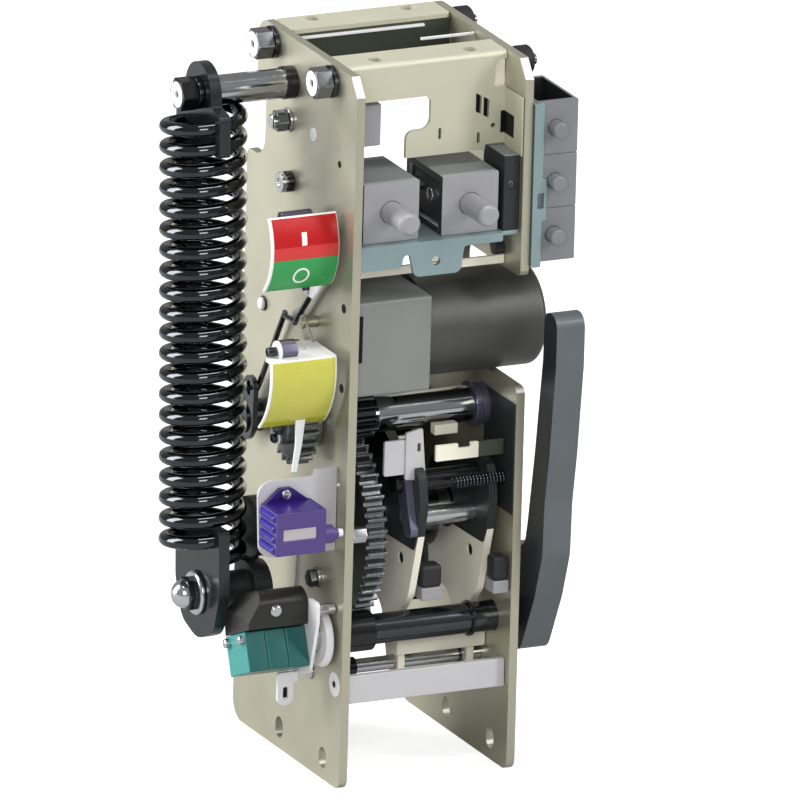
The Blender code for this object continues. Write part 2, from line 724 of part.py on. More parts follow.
def lean_place(item):
    """Turns a form drawn upright over the crank pin onto the spring's leaning line."""
    item.matrix_world = (Matrix.Translation(Vector((SPRING_X, *PIN_AXIS)) * MM)
                         @ Matrix.Rotation(-SPRING_LEAN, 4, "X") @ item.matrix_world)
    return item


def spring_points(first, last, per_turn=8):
    points = []
    count = round((last - first) * per_turn)
    for step in range(count + 1):
        turn = first + (last - first) * step / count
        angle = 2 * math.pi * turn
        points.append((-COIL_R * math.sin(angle), COIL_R * math.cos(angle), COIL_START + PITCH * turn))
    return points


def hanger(name, outline, hole_at, hole_r, first, last):
    plate = lean_place(solid(flat(name, "X", [outline, circle((0, hole_at), hole_r, 24)],
                                  (-HANGER / 2, HANGER / 2), "black steel")))
    groove_r = WIRE_R / math.cos(math.pi / 8) + 2 * GAP
    groove = lean_place(solid(wire("thread_groove", spring_points(first, last), groove_r, "black steel")))
    return cut(plate, groove)


def closing_spring(foot, head):
    coil = solid(wire("closing_spring", spring_points(0.0, TURNS), WIRE_R, "black steel"))
    lean_place(coil)
    reach = math.dist(ROD_AXIS, PIN_AXIS)
    coil_top = COIL_START + PITCH * TURNS
    cheek = HANGER_HALF - 8
    low = rounded_outline([(-HANGER_HALF, 3, 12), (-cheek, -19, 14), (0, -HANGER_EYE_LOW, 20), (cheek, -19, 14),
                           (HANGER_HALF, 3, 12), (HANGER_HALF, COIL_START + PITCH + 1, 2),
                           (-HANGER_HALF, COIL_START + PITCH + 1, 2)])
    lower = hanger("spring_lower_hanger", low, 0.0, PIN_R + GAP, -0.5, 1.75)
    bottom, shoulder, neck = coil_top - 10, reach - 8, reach - 5
    corners = [(-HANGER_HALF, bottom, 2), (HANGER_HALF, bottom, 2), (HANGER_HALF, shoulder, 4),
               (HANGER_EYE_TOP, neck, 2)]
    corners += [(y, z, 0) for y, z in arc((0, reach), HANGER_EYE_TOP, 0, 180, 12)]
    corners += [(-HANGER_EYE_TOP, neck, 2), (-HANGER_HALF, shoulder, 4)]
    top = rounded_outline(corners)
    upper = hanger("spring_upper_hanger", top, reach, ROD_THREAD_R + GAP, TURNS - 1.75, TURNS + 0.5)
    hang(foot, lower)
    hang(head, upper, coil)


def spring_rod():
    end = HANGER_X[0] - GAP
    rod = turned("upper_spring_rod", ROD_AXIS,
                 [(0, PLATE + 4), (ROD_THREAD_R, PLATE + 4), (ROD_THREAD_R, -GAP), (ROD_COLLAR_R, -GAP),
                  (ROD_COLLAR_R, -ROD_COLLAR + 1), (ROD_COLLAR_R - 1, -ROD_COLLAR), (ROD_R, -ROD_COLLAR),
                  (ROD_R, HANGER_X[1] + GAP), (ROD_THREAD_R, HANGER_X[1] + GAP), (ROD_THREAD_R, end),
                  (WASHER_R, end), (WASHER_R, end - WASHER), (ROD_THREAD_R, end - WASHER),
                  (ROD_THREAD_R, end - 9), (0, end - 9)], "black steel")
    nut = hexagon("spring_rod_nut", ROD_AXIS, (end - WASHER - NUT_LENGTH, end - WASHER + 0.5), NUT_FLATS + 1,
                  "black steel")
    join(rod, nut)


# Output shaft, follower and indicator link

def output_shaft(carrier):
    shaft = turned("output_shaft", OUTPUT_AXIS,
                   [(0, RIGHT_OUT + 4), (OUTPUT_R, RIGHT_OUT + 4), (OUTPUT_R, LINK_X - 3), (0, LINK_X - 3)],
                   "bright steel", 20)
    roller = roller_path(0.0)
    follower = solid(flat("cam_follower", "X",
                          [arc(roller, ROLLER_R + 1.0, FOLLOWER_REST - 90, FOLLOWER_REST + 90, 8)
                           + arc(OUTPUT_AXIS, OUTPUT_R + 6, FOLLOWER_REST + 90, FOLLOWER_REST + 270, 12),
                           circle(OUTPUT_AXIS, OUTPUT_R + GAP, 20)],
                          (CAM_X[0] - 7, CAM_X[0] - 1), "dark steel"))
    join(follower, cylinder("roller", "X", roller, (CAM_X[0] - 2, CAM_X[1] + 1), ROLLER_R, "bright steel", 20))
    end = polar(OUTPUT_AXIS, OUTPUT_ARM, -76)
    lever = flat("output_lever", "X",
                 [arc(end, 9, -166, 14, 8) + arc(OUTPUT_AXIS, OUTPUT_R + 6, 14, 194, 12),
                  circle(OUTPUT_AXIS, OUTPUT_R + GAP, 20), circle(end, 4.2, 16)],
                 (CHEEK_X[1] - 12, CHEEK_X[1] - 2), "dark steel")
    top = LINK_REAR
    arm = flat("indicator_arm", "X",
               [arc(OUTPUT_AXIS, OUTPUT_R + 4, 180, 360, 10) + arc(top, 7, 0, 180, 8),
                circle(top, HOOK_HOLE_R, 12, 4.0)],
               (LINK_X - 1.5, LINK_X + 1.5), "zinc")
    join(shaft, solid(arm))
    hang(carrier, shaft, follower, lever)


def indicator_link(carrier):
    x = LINK_X + 4.0
    points = [(LINK_X - 4, *LINK_FRONT), (x - 1, *LINK_FRONT), (x, LINK_FRONT[0] + 1, LINK_FRONT[1] - 1),
              (x, 62.5, 254.5), (x, 64.5, 253), (x, 77, 252.4), (x, 79.5, 251),
              (x, LINK_REAR[0] - 1, LINK_REAR[1] + 1), (x - 1, *LINK_REAR), (LINK_X - 4, *LINK_REAR)]
    hang(carrier, wire("indicator_link", points, LINK_WIRE_R, "zinc"))


def drum(carrier):
    face = solid(flat("open_closed_indicator", "X", [band(DRUM_AXIS, DRUM_R, DRUM_SHEET, 145, 225, 10)],
                      DRUM_X, "red"))
    web = solid(flat("web", "X",
                     [arc(DRUM_AXIS, DRUM_R - DRUM_SHEET / 2, 150, 220, 10)
                      + [(LINK_FRONT[0] - 6, LINK_FRONT[1] - 5), (LINK_FRONT[0] + 5, LINK_FRONT[1] - 5),
                         (DRUM_AXIS[0] + 8, DRUM_AXIS[1] - 4), (DRUM_AXIS[0] + 8, DRUM_AXIS[1] + 7)],
                      circle(LINK_FRONT, HOOK_HOLE_R, 12, 4.0)],
                     (LINK_X - 1, LINK_X + 1), "white"))
    hub = cylinder("hub", "X", DRUM_AXIS, (LINK_X - 5, LINK_X + 5), 6, "white", 20)
    join(face, web, hub)
    cut(face, cylinder("bore", "X", DRUM_AXIS, (LINK_X - 9, 5), 3 + GAP, "white", 20))
    hang(carrier, face)
    turned("indicator_pin", DRUM_AXIS,
           [(0, PLATE), (3, PLATE), (3, LINK_X - 6), (5, LINK_X - 6), (5, LINK_X - 8),
            (0, LINK_X - 8)], "bright steel", 20)


def flag(carrier):
    high = polar(FLAG_AXIS, FLAG_R, 167)
    face = solid(flat("spring_indicator", "X", [band(FLAG_AXIS, FLAG_R, DRUM_SHEET, 167, 229, 9)],
                      FLAG_X, "yellow"))
    x_low, x_high = -19.0, -6.5
    top = flat("top", "Z",
               [rounded_outline([(FLAG_X[0], high[0], 0), (FLAG_X[1], high[0], 0), (FLAG_X[1], 28, 1),
                                 (x_high, 30, 1), (x_high, FLAG_PIVOT[0], 0), (x_low, FLAG_PIVOT[0], 0),
                                 (x_low, 30, 2), (FLAG_X[0], 16, 5)]),
                rounded_outline([(-16, 32, 0.5), (-8, 32, 0.5), (-8, 38, 0.5), (-16, 38, 0.5)])],
               (high[1] - DRUM_SHEET, high[1]), "white")
    ear = flat("ear", "X", [arc(FLAG_PIVOT, 6, -20, 200, 10) + [(FLAG_PIVOT[0] - 6, high[1] - 1.0),
                                                               (FLAG_PIVOT[0] + 6, high[1] - 1.0)]],
               (x_low, x_low + 2), "white")
    hub = cylinder("hub", "X", FLAG_PIVOT, (x_low, x_high), 5, "white", 20)
    join(face, solid(top), solid(ear), hub)
    cut(face, cylinder("bore", "X", FLAG_PIVOT, (x_low - 5, 5), 3 + GAP, "white", 20))
    hang(carrier, face)
    turned("spring_indicator_pin", FLAG_PIVOT,
           [(0, PLATE), (3, PLATE), (3, x_low - 1), (5, x_low - 1), (5, x_low - 3), (0, x_low - 3)],
           "bright steel", 20)


# Hand charging lever

def hand_lever(carrier):
    outline = rounded_outline([(-24, 269, 7), (-9.6, 269, 7), (-9, 240, 30), (-2, 184, 60), (5, 140, 40),
                               (8, 127, 8), (38, 121, 12), (46, 84, 14), (34, 63, 14), (10, 65, 12),
                               (-7, 101, 30), (-15.6, 128, 30), (-16.4, 158, 60), (-20.8, 187, 60),
                               (-26, 240, 30), (-26, 262, 8)])
    lever = bevel(welded(flat("hand_lever", "X", [outline], LEVER_X, "dark steel")), 2.0, 1, 40)
    cut(lever, cylinder("bore", "X", HAND_AXIS, (LEVER_X[0] - 5, LEVER_X[1] + 5), HAND_R + GAP, "dark steel", 20))
    shaft = turned("hand_lever_shaft", HAND_AXIS,
                   [(0, LEVER_X[1] + 1), (HAND_R - 1, LEVER_X[1] + 1), (HAND_R, LEVER_X[1]), (HAND_R, 88),
                    (HAND_R + 1.8, 88), (HAND_R + 1.8, 84), (HAND_R, 84), (HAND_R, 16), (HAND_R + 4, 16),
                    (HAND_R + 4, 7), (HAND_R, 7), (HAND_R, -7), (0, -7)], "black steel", 20)
    disc = turned("shaft_disc", HAND_AXIS,
                  [(HAND_R + GAP, -2), (DISC_R, -2), (DISC_R, -6), (HAND_R + GAP, -6)], "white", 20)
    hang(carrier, lever, shaft, disc)


def welded(item):
    weld = item.modifiers.new("weld", "WELD")
    weld.merge_threshold = 0.00001
    return solid(item)


# Motor and releases

def motor():
    low = GEARBOX_X + GAP
    turned("charging_motor", MOTOR_AXIS,
           [(0, MOTOR_END), (MOTOR_R - 5, MOTOR_END), (MOTOR_R - 2, MOTOR_END - 1), (MOTOR_R, MOTOR_END - 4),
            (MOTOR_R, low + 6), (MOTOR_R - 1.2, low + 6), (MOTOR_R - 1.2, low + 4), (MOTOR_R, low + 4),
            (MOTOR_R, low), (0, low)], "motor", 28)
    case = block("motor_gearbox", (PLATE + GAP, GEARBOX_X), GEARBOX_Y, GEARBOX_Z, "gearbox", 2.5)
    cut(case, cylinder("bore", "X", MOTOR_PINION_AXIS, (0, 9), MOTOR_SHAFT_R + GAP, "gearbox", 20))


def shunt_release(name, x, carrier):
    """An iron frame round a coil, with the plunger through its front face."""
    y, z = COIL_Y, COIL_Z
    middle = ((x[0] + x[1]) / 2, (z[0] + z[1]) / 2)
    frame = block(f"{name}_release_coil", x, y, z, "release", 1.0)
    for side, inner in ((x[0], x[0] + 1.5), (x[1] - 1.5, x[1])):
        cut(frame, block("window", (side - 0.5, inner + 0.5), (y[0] + 4, y[1] - 4), (z[0] + 4, z[1] - 4), "release"))
    seat = y[0] + PLUNGER_TRAVEL
    cut(frame, cylinder("bore", "Y", middle, (y[0] - 5, seat + PLUNGER_TRAVEL + 4), PLUNGER_R + GAP, "release", 24))
    plunger = turned(f"{name}_plunger", middle,
                     [(0, seat), (PLUNGER_R, seat), (PLUNGER_R, y[0] - PLUNGER_OUT + 1.5),
                      (PLUNGER_R - 1.5, y[0] - PLUNGER_OUT), (0, y[0] - PLUNGER_OUT)],
                     "bright steel", 16, "Y")
    hang(carrier, plunger)


def coil_bracket():
    low, high = PLATE + GAP, RIGHT_IN - GAP
    top = COIL_Z[0] - GAP
    shelf = block("coil_bracket", (low, high), (LIP_Y + SHEET - GAP, COIL_Y[1]), (top - SHEET, top), "zinc")
    edge, tab_x, tab = top - 5, (38.0, 66.0), top - 20
    lip = rounded_outline([(low, top, 0), (low, top - 14, 2), (30, top - 14, 2), (31.5, top - 7, 2),
                           (35, top - 7, 2), (tab_x[0], tab, 4), (tab_x[1], tab, 4),
                           (tab_x[1] + 2, edge, 2), (91.4, edge, 1), (91.4, top, 0)])
    front = solid(flat("lip", "Y", [lip, circle((51, top - 12), 2.6, 12)], (LIP_Y, LIP_Y + SHEET), "zinc"))
    switch = block("interlock_switch", INTERLOCK_X, INTERLOCK_Y, (top - 1, INTERLOCK_TOP), "black plastic")
    join(shelf, front, switch)


def release_stack(carriers):
    low, high = BOX_Z - 2, BOX_Z + 3 * BOX_STEP
    edge = RIGHT_OUT + 6
    tab = (low + 26.6, low + 50.6)
    slot = (low + 33.6, low + 42.6)
    strip = solid(flat("release_strip", "Y",
                       [rounded_outline([(RIGHT_OUT + GAP, low, 1), (edge, low, 1), (edge, tab[0], 1),
                                         (edge + 2.5, tab[0], 1), (edge + 2.5, tab[1], 1), (edge, tab[1], 1),
                                         (edge, high, 1), (RIGHT_OUT + GAP, high, 1)]),
                        rounded_outline([(edge - 3, slot[0], 0.5), (edge + 1, slot[0], 0.5),
                                         (edge + 1, slot[1], 0.5), (edge - 3, slot[1], 0.5)])],
                       (BOX_Y[0] - GAP - 2, BOX_Y[0] - GAP), "zinc"))
    join(strip, block("strip_back", (RIGHT_OUT + GAP, BOX_X[0] - GAP), (BOX_Y[0] - 1.5, BOX_Y[1]), (low, high),
                      "zinc"))
    for index, carrier in enumerate(carriers):
        low = BOX_Z + index * BOX_STEP + GAP
        high = low + BOX_STEP - GAP
        middle = (BUTTON_X, (low + high) / 2)
        box = block(f"undervoltage_release_{index + 1}", BOX_X, BOX_Y, (low, high), "release", 1.0)
        if index == len(carriers) - 1:
            cut(box, block("well", (BOX_X[0] + 2.5, BOX_X[1] - 2.5), (BOX_Y[0] + 3, BOX_Y[1] - 3),
                           (high - 14, high + 5), "release"))
        cut(box, cylinder("bore", "Y", middle, (BOX_Y[0] - 5, BOX_Y[0] + 9 + BUTTON_TRAVEL), BUTTON_R + GAP, "release",
                          20))
        button = turned(f"release_button_{index + 1}", middle,
                        [(0, BOX_Y[0] + 8), (BUTTON_R, BOX_Y[0] + 8), (BUTTON_R, BOX_Y[0] - BUTTON_OUT + 0.8),
                         (BUTTON_R - 0.8, BOX_Y[0] - BUTTON_OUT), (0, BOX_Y[0] - BUTTON_OUT)],
                        "bright steel", 14, "Y")
        hang(carrier, button)


# Counter, switches and the small parts at the foot

def counter():
    bracket = solid(flat("counter_bracket", "Y",
                         [rounded_outline([(COUNTER_X[0] + 2, 136, 8), (-GAP, 136, 1), (-GAP, 184, 1), (-14, 184, 1),
                                           (-14, 180, 3), (COUNTER_X[0], 180, 8)])],
                         (COUNTER_Y[1] + GAP, COUNTER_Y[1] + GAP + 1.8), "release"))
    join(bracket, block("fixing_flange", (-GAP - 1.8, -GAP), (COUNTER_Y[1] + 1, COUNTER_Y[1] + 11),
                        (140, 180), "release"))
    body = block("operation_counter", COUNTER_X, COUNTER_Y, COUNTER_Z, "purple", 1.2)
    ear = solid(flat("ear", "Y", [rounded_outline([(COUNTER_X[0] + 4, COUNTER_Z[1] - 1, 0),
                                                   (COUNTER_X[1] - 4, COUNTER_Z[1] - 1, 0),
                                                   (-29, COUNTER_Z[1] + 8, 3), (-36, COUNTER_Z[1] + 8, 3)])],
                     (COUNTER_Y[1] - 3, COUNTER_Y[1]), "purple"))
    join(body, ear)
    cut(body, block("window", (-42, -22), (COUNTER_Y[0] - 1, COUNTER_Y[0] + 1.2), (152, 158.5), "purple"))


def tilted(item):
    """Turns a form about the line through the middle of the auxiliary switches."""
    centre = Vector((0, *SWITCH_CENTRE)) * MM
    item.matrix_world = (Matrix.Translation(centre) @ Matrix.Rotation(rad(SWITCH_TILT), 4, "X")
                         @ Matrix.Translation(-centre) @ item.matrix_basis)
    return item


def auxiliary_switches():
    y, z = SWITCH_CENTRE
    half_y, half_z = SWITCH_SIZE[0] / 2, SWITCH_SIZE[1] / 2
    for index in range(3):
        low = SWITCH_X + index * (SWITCH_WIDTH + GAP)
        tilted(block(f"auxiliary_switch_{index + 1}", (low, low + SWITCH_WIDTH), (y - half_y, y + half_y),
                     (z - half_z, z + half_z), "teal", 0.8))
    end = SWITCH_X + 3 * SWITCH_WIDTH + 2 * GAP
    cover = flat("switch_cover", "X",
                 [rounded_outline([(16.5, 93.6, 0.5), (46.5, 80.9, 0.5), (49, 92, 6), (40, 107, 10), (26, 113, 8),
                                   (17, 109, 6)])], (SWITCH_X + 0.7, end), "black plastic")
    slant = [(SWITCH_X - 5, 97), (SWITCH_X + 0.5, 97), (SWITCH_X + 13, 118), (SWITCH_X - 5, 118)]
    cut(solid(cover), solid(flat("slant", "Y", [slant], (0, 60), "black plastic")))
    sheet = (end + GAP, end + GAP + 2)
    bracket = solid(flat("switch_bracket", "X",
                         [rounded_outline([(6, 97, 3), (6, 108, 3), (17, 108, 3), (36, 92, 6), (52, 76, 4),
                                           (52, 62, 4), (44, 58, 4), (43, 47, 6), (31, 47, 6), (28, 60, 6),
                                           (14, 66, 6)]),
                          circle((36.5, 54), 2.2, 12, 4.0)], sheet, "white"))
    for post in ((11.5, 102.5), (47, 67)):
        join(bracket, block("standoff", (sheet[1] - 0.5, -GAP), (post[0] - 3, post[0] + 3),
                            (post[1] - 3, post[1] + 3), "bright steel"))


def cross_pieces():
    low, high = PLATE + GAP, RIGHT_IN - GAP
    block("lower_front_strip", (low, high), (5.0, 9.0), (47.8, 63.8), "white")
    profile = [(0, RIGHT_OUT + 1.5), (CROSS_R, RIGHT_OUT + 1.5), (CROSS_R, -1.5), (0, -1.5)]
    turned("lower_cross_rod", CROSS_LOW, profile, "bright steel", 16)
    rear = turned("rear_cross_rod", CROSS_REAR, profile, "bright steel", 16)
    join(rear, block("guard", (low, high), GUARD_Y, GUARD_Z, "dark steel"))
    for ear in GUARD_EAR_X:
        join(rear, block("guard_ear", ear, (CROSS_REAR[0], GUARD_Y[1] - 0.5), (CROSS_REAR[1] - 3, GUARD_Z[0] + 3),
                         "dark steel"))


def cheeks(close_carrier, trip_carrier):
    holes = [circle(MAIN_AXIS, MAIN_R + 2, 24), circle(CROSS_LOW, CROSS_R + GAP), circle(CROSS_REAR, CROSS_R + GAP),
             circle(CLOSE_LATCH_AXIS, LATCH_R + GAP), circle(TRIP_LATCH_AXIS, LATCH_R + GAP),
             circle((34, 119.4), 3.5, 12)]
    for name, x in zip(("left", "right"), CHEEK_X):
        outline = rounded_outline([(33.5, 50, 6), (47, 50, 6), (58, 88, 12), (116, 92, 6), (129, 92, 6), (129, 107, 6),
                                   (96, 128, 12), (84, 160, 10), (56, 172, 12), (34, 178, 6), (12, 176, 8),
                                   (8, 156, 8), (12, 138, 12), (23, 100, 12), (34, 88, 8)])
        flat(f"{name}_cheek_plate", "X", [outline] + holes, (x, x + CHEEK), "cream")
    for name, centre, carrier in (("closing", CLOSE_LATCH_AXIS, close_carrier),
                                  ("tripping", TRIP_LATCH_AXIS, trip_carrier)):
        shaft = turned(f"{name}_half_shaft", centre,
                       [(0, CHEEK_X[1] + CHEEK + 3), (LATCH_R, CHEEK_X[1] + CHEEK + 3), (LATCH_R, CHEEK_X[0] - 10),
                        (0, CHEEK_X[0] - 10)], "dark steel", 16)
        cut(shaft, block("half", (CHEEK_X[0] + 12, CHEEK_X[1] - 10), (centre[0], centre[0] + LATCH_R + 1),
                         (centre[1] - LATCH_R - 1, centre[1] + LATCH_R + 1), "dark steel"))
        hang(carrier, shaft)


def build():
    side_plates()
    top_panels()
    tie_rods()
    bushes()
    pinion_bearing()
    spring_rod()
    motor()
    coil_bracket()
    counter()
    auxiliary_switches()
    cross_pieces()
    main = pivot("main_shaft_axis", 0, MAIN_AXIS)
    foot = pivot("crank_pin_axis", SPRING_X, PIN_AXIS)
    head = pivot("spring_rod_axis", SPRING_X, ROD_AXIS)
    closing_spring(foot, head)
    main_shaft(main)
    pinion_gears(pivot("pinion_shaft_axis", 0, PINION_AXIS), pivot("motor_pinion_axis", 0, MOTOR_PINION_AXIS))
    output_shaft(pivot("output_shaft_axis", 0, OUTPUT_AXIS))
    indicator_link(pivot("link_axis", LINK_X, LINK_FRONT))
    drum(pivot("drum_axis", 0, DRUM_AXIS))
    flag(pivot("flag_axis", 0, FLAG_PIVOT))
    hand_lever(pivot("hand_shaft_axis", 0, HAND_AXIS))
    for name, x in zip(("closing", "opening"), COIL_X):
        shunt_release(name, x, pivot(f"{name}_plunger_axis", sum(x) / 2, (COIL_Y[0], sum(COIL_Z) / 2)))
    release_stack([pivot(f"button_axis_{index + 1}", BUTTON_X, (BOX_Y[0], BOX_Z + (index + 0.5) * BOX_STEP))
                   for index in range(3)])
    cheeks(pivot("closing_latch_axis", 0, CLOSE_LATCH_AXIS), pivot("trip_latch_axis", 0, TRIP_LATCH_AXIS))
    assembly = pivot("assembly", 0, (0, 0))
    for item in list(bpy.data.objects):
        if item.parent is None and item is not assembly:
            item.parent = assembly
    assembly.location = Vector(((X_LOW + X_HIGH) / -2, (Y_LOW + Y_HIGH) / -2, 0)) * MM


build()
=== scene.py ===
"""Studio picture of a spring operating mechanism for an indoor vacuum circuit breaker.

Sizes are millimetres in the drawing's frame: X = 0 is the outer face of the left side plate,
Y = 0 the front edge of both plates and Z = 0 the edge they stand on. Every piece is built in
place, so it needs no transform of its own.
"""
import json
import math

import bmesh
import bpy
from mathutils import Matrix, Vector

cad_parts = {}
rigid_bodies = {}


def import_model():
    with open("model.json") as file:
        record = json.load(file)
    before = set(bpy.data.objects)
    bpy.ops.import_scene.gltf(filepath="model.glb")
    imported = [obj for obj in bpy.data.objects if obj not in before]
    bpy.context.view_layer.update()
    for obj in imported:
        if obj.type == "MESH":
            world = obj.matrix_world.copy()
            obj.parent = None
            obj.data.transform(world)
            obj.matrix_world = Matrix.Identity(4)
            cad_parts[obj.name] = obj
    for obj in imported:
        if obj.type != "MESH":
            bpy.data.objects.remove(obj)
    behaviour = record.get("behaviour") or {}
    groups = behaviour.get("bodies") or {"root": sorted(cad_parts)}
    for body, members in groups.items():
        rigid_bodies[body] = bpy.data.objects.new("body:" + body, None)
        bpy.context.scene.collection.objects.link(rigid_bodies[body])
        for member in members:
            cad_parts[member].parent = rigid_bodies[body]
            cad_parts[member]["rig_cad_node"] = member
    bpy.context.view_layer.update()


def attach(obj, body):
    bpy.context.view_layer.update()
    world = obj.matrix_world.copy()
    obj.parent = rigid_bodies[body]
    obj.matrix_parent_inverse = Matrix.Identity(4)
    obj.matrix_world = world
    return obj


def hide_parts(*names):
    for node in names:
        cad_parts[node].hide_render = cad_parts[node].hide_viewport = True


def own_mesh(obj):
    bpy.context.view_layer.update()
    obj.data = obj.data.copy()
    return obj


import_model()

# From the drawing's frame to the model's, and from millimetres to metres
OFFSET = Vector((-27.95, -57.5, 0.0))
MM = 0.001
FRAME = "frame"

# Sizes of the mechanism in millimetres and degrees; an axis along X is given as (Y, Z)
PLATE = 5.0
RIGHT_IN = 102.0
RIGHT_OUT = 107.0
HEIGHT = 410.0
INSIDE = (5.3, 101.7)
MODULE = 2.0
DRIVE_TEETH = 57
PINION_TEETH = 11
OUTER_TEETH = 21
MOTOR_TEETH = 12
PRESSURE_ANGLE = math.radians(20)
BACKLASH = 0.45
SHAFT_TURN = 176.0
OUTPUT_TURN = 40.0
MAIN_AXIS = (66.0, 136.5)
CRANK_R = 36.0
ROD_AXIS = (84.0, 385.0)
SPRING_X = -54.0
WIRE_R = 3.8
WIRE_SIDES = 18
COIL_R = 20.7
PITCH = 11.75
COIL_START = 28.5
TURNS = 20.0
OUTPUT_AXIS = (117.5, 182.5)
HAND_AXIS = (23.8, 83.2)
MOTOR_AXIS = (42.0, 251.5)
DRUM_AXIS = (45.3, 311.0)
FLAG_AXIS = (49.0, 241.0)
FLAG_PIVOT = (46.0, 258.0)
TIE_Y = (32.0, 110.0)
TIE_Z = 400.5
CLOSE_LATCH = (26.0, 166.0)
TRIP_LATCH = (30.0, 144.0)
STRIP_HOLES = (25.7, 83.2)
PLUG_SPOTS = ((20.5, 356), (10, 276), (10, 230))
CROSS_AXIS = (40.0, 57.0)
REAR_CROSS_AXIS = (122.0, 100.0)
LATCH_HOLE = (34.0, 119.4)


def rad(degrees):
    return math.radians(degrees)


def polar(centre, radius, degrees):
    return (centre[0] + radius * math.cos(rad(degrees)), centre[1] + radius * math.sin(rad(degrees)))


def direction(start, end):
    return math.degrees(math.atan2(end[1] - start[1], end[0] - start[0]))


PINION_AXIS = polar(MAIN_AXIS, MODULE * (DRIVE_TEETH + PINION_TEETH) / 2, 108.6)
MOTOR_PINION_AXIS = polar(PINION_AXIS, MODULE * (OUTER_TEETH + MOTOR_TEETH) / 2, 76.0)
OUTPUT_HOOK = polar(OUTPUT_AXIS, 20, 110)
PIN_AXIS = polar(MAIN_AXIS, CRANK_R, -86.0)
LEAN = math.atan2(ROD_AXIS[0] - PIN_AXIS[0], ROD_AXIS[1] - PIN_AXIS[1])
REACH = math.dist(ROD_AXIS, PIN_AXIS)


# Materials

def linear(color):
    return tuple((v / 255 / 12.92) if v <= 10 else ((v / 255 + 0.055) / 1.055) ** 2.4 for v in color)


FINISHES = {
    # name: sRGB colour, metallic, roughness, colour mottling, grain bump, material slot of the record
    "plate": ((180, 177, 158), 0.72, 0.35, 0.018, 0.05, "plate_steel"),
    "panel": ((194, 192, 171), 0.3, 0.46, 0.025, 0.08, "panel_steel"),
    # Plate steel as a light cream for the cheeks and inner strips: partly their own paler finish, partly
    # painted light against the shade inside the frame.
    "cheek": ((234, 229, 212), 0, 0.44, 0.03, 0.1, "plate_steel"),
    "zinc": ((134, 154, 157), 0.4, 0.32, 0.05, 0.1, "zinc_steel"),
    "spring": ((66, 68, 71), 1, 0.07, 0.06, 0.02, "black_steel"),
    "black": ((16, 17, 19), 0, 0.18, 0.1, 0.05, "black_steel"),
    "hanger": ((22, 25, 27), 0.3, 0.22, 0.1, 0.12, "black_steel"),
    # Lighter copy of the hanger black: painted highlight on the hangers' edges.
    "hanger_edge_painted_highlight": ((58, 62, 64), 0.7, 0.22, 0.08, 0.12, "black_steel"),
    "shaft": ((74, 78, 82), 0.95, 0.15, 0.06, 0.04, "dark_steel"),
    "nut": ((126, 129, 131), 0.92, 0.24, 0.04, 0.05, "bright_steel"),
    "polished": ((178, 181, 184), 1, 0.11, 0.03, 0.02, "bright_steel"),
    "steel": ((186, 188, 190), 0.95, 0.18, 0.04, 0.06, "bright_steel"),
    "gear": ((122, 126, 128), 0.92, 0.24, 0.08, 0.12, "gear_steel"),
    "lilac": ((104, 102, 122), 0.6, 0.3, 0.06, 0.06, "dark_steel"),
    "motor": ((84, 84, 82), 0.55, 0.44, 0.05, 0.16, "motor_paint"),
    "gearbox": ((128, 130, 128), 0.1, 0.44, 0.04, 0.16, "gearbox_paint"),
    "release": ((150, 150, 153), 0.1, 0.4, 0.04, 0.14, "release_grey"),
    # Release grey painted darker for top faces: painted shade.
    "release_top_painted_shade": ((112, 116, 116), 0.1, 0.46, 0.04, 0.14, "release_grey"),
    "box": ((122, 124, 128), 0.1, 0.42, 0.04, 0.14, "release_grey"),
    # The plate colour painted darker: painted shade.
    "plate_in_painted_shade": ((66, 72, 62), 0.3, 0.4, 0.06, 0.1, "plate_steel"),
    "dark": ((36, 39, 40), 0, 0.48, 0.08, 0.14, "black_plastic"),
    "lever": ((88, 95, 98), 0.1, 0.34, 0.05, 0.16, "dark_steel"),
    # Darker copy of the lever finish: painted shade on the sides.
    "lever_side_painted_shade": ((38, 43, 48), 0.1, 0.36, 0.05, 0.16, "dark_steel"),
    "purple": ((74, 56, 118), 0, 0.36, 0.05, 0.08, "counter_purple"),
    "purple_rib": ((46, 36, 128), 0, 0.2, 0.05, 0.06, "counter_purple"),
    # Darker copy of the purple: painted shade on top faces.
    "purple_top_painted_shade": ((34, 10, 98), 0, 0.36, 0.05, 0.08, "counter_purple"),
    "window": ((176, 170, 174), 0, 0.3, 0.02, 0.02, "white_plastic"),
    # Lighter copy of the switch teal: painted light on the left end faces.
    "teal": ((44, 134, 130), 0, 0.34, 0.05, 0.08, "switch_teal"),
    "teal_front": ((16, 88, 84), 0, 0.3, 0.06, 0.08, "switch_teal"),
    "cover": ((33, 32, 31), 0, 0.36, 0.06, 0.12, "black_plastic"),
    "rubber": ((30, 30, 31), 0, 0.6, 0.06, 0.2, "rubber"),
    "white": ((222, 222, 222), 0, 0.38, 0.02, 0.04, "white_plastic"),
    "strip": ((192, 191, 193), 0.2, 0.34, 0.02, 0.06, "white_plastic"),
    "red": ((176, 18, 22), 0, 0.26, 0.03, 0.03, "indicator_red"),
    # Lighter copy of the red: painted light.
    "red_painted_light": ((198, 50, 48), 0, 0.26, 0.03, 0.03, "indicator_red"),
    "green": ((44, 150, 76), 0, 0.26, 0.03, 0.03, "indicator_red"),
    "yellow": ((190, 188, 80), 0, 0.28, 0.03, 0.03, "indicator_yellow"),
    # Darker copy of the yellow: painted shade.
    "olive": ((168, 166, 40), 0, 0.28, 0.03, 0.03, "indicator_yellow"),
    "marking": ((236, 236, 232), 0, 0.34, 0.01, 0.02, "white_plastic"),
    "hole": ((10, 11, 12), 0, 0.6, 0.05, 0.04, "black_plastic"),
}
EVEN_GRAIN = (1, 1, 1)
BRUSHED = {"shaft": (1, 8, 8), "polished": (1, 6, 6), "steel": (1, 6, 6)}
PLAIN_SPECULAR = 0.5
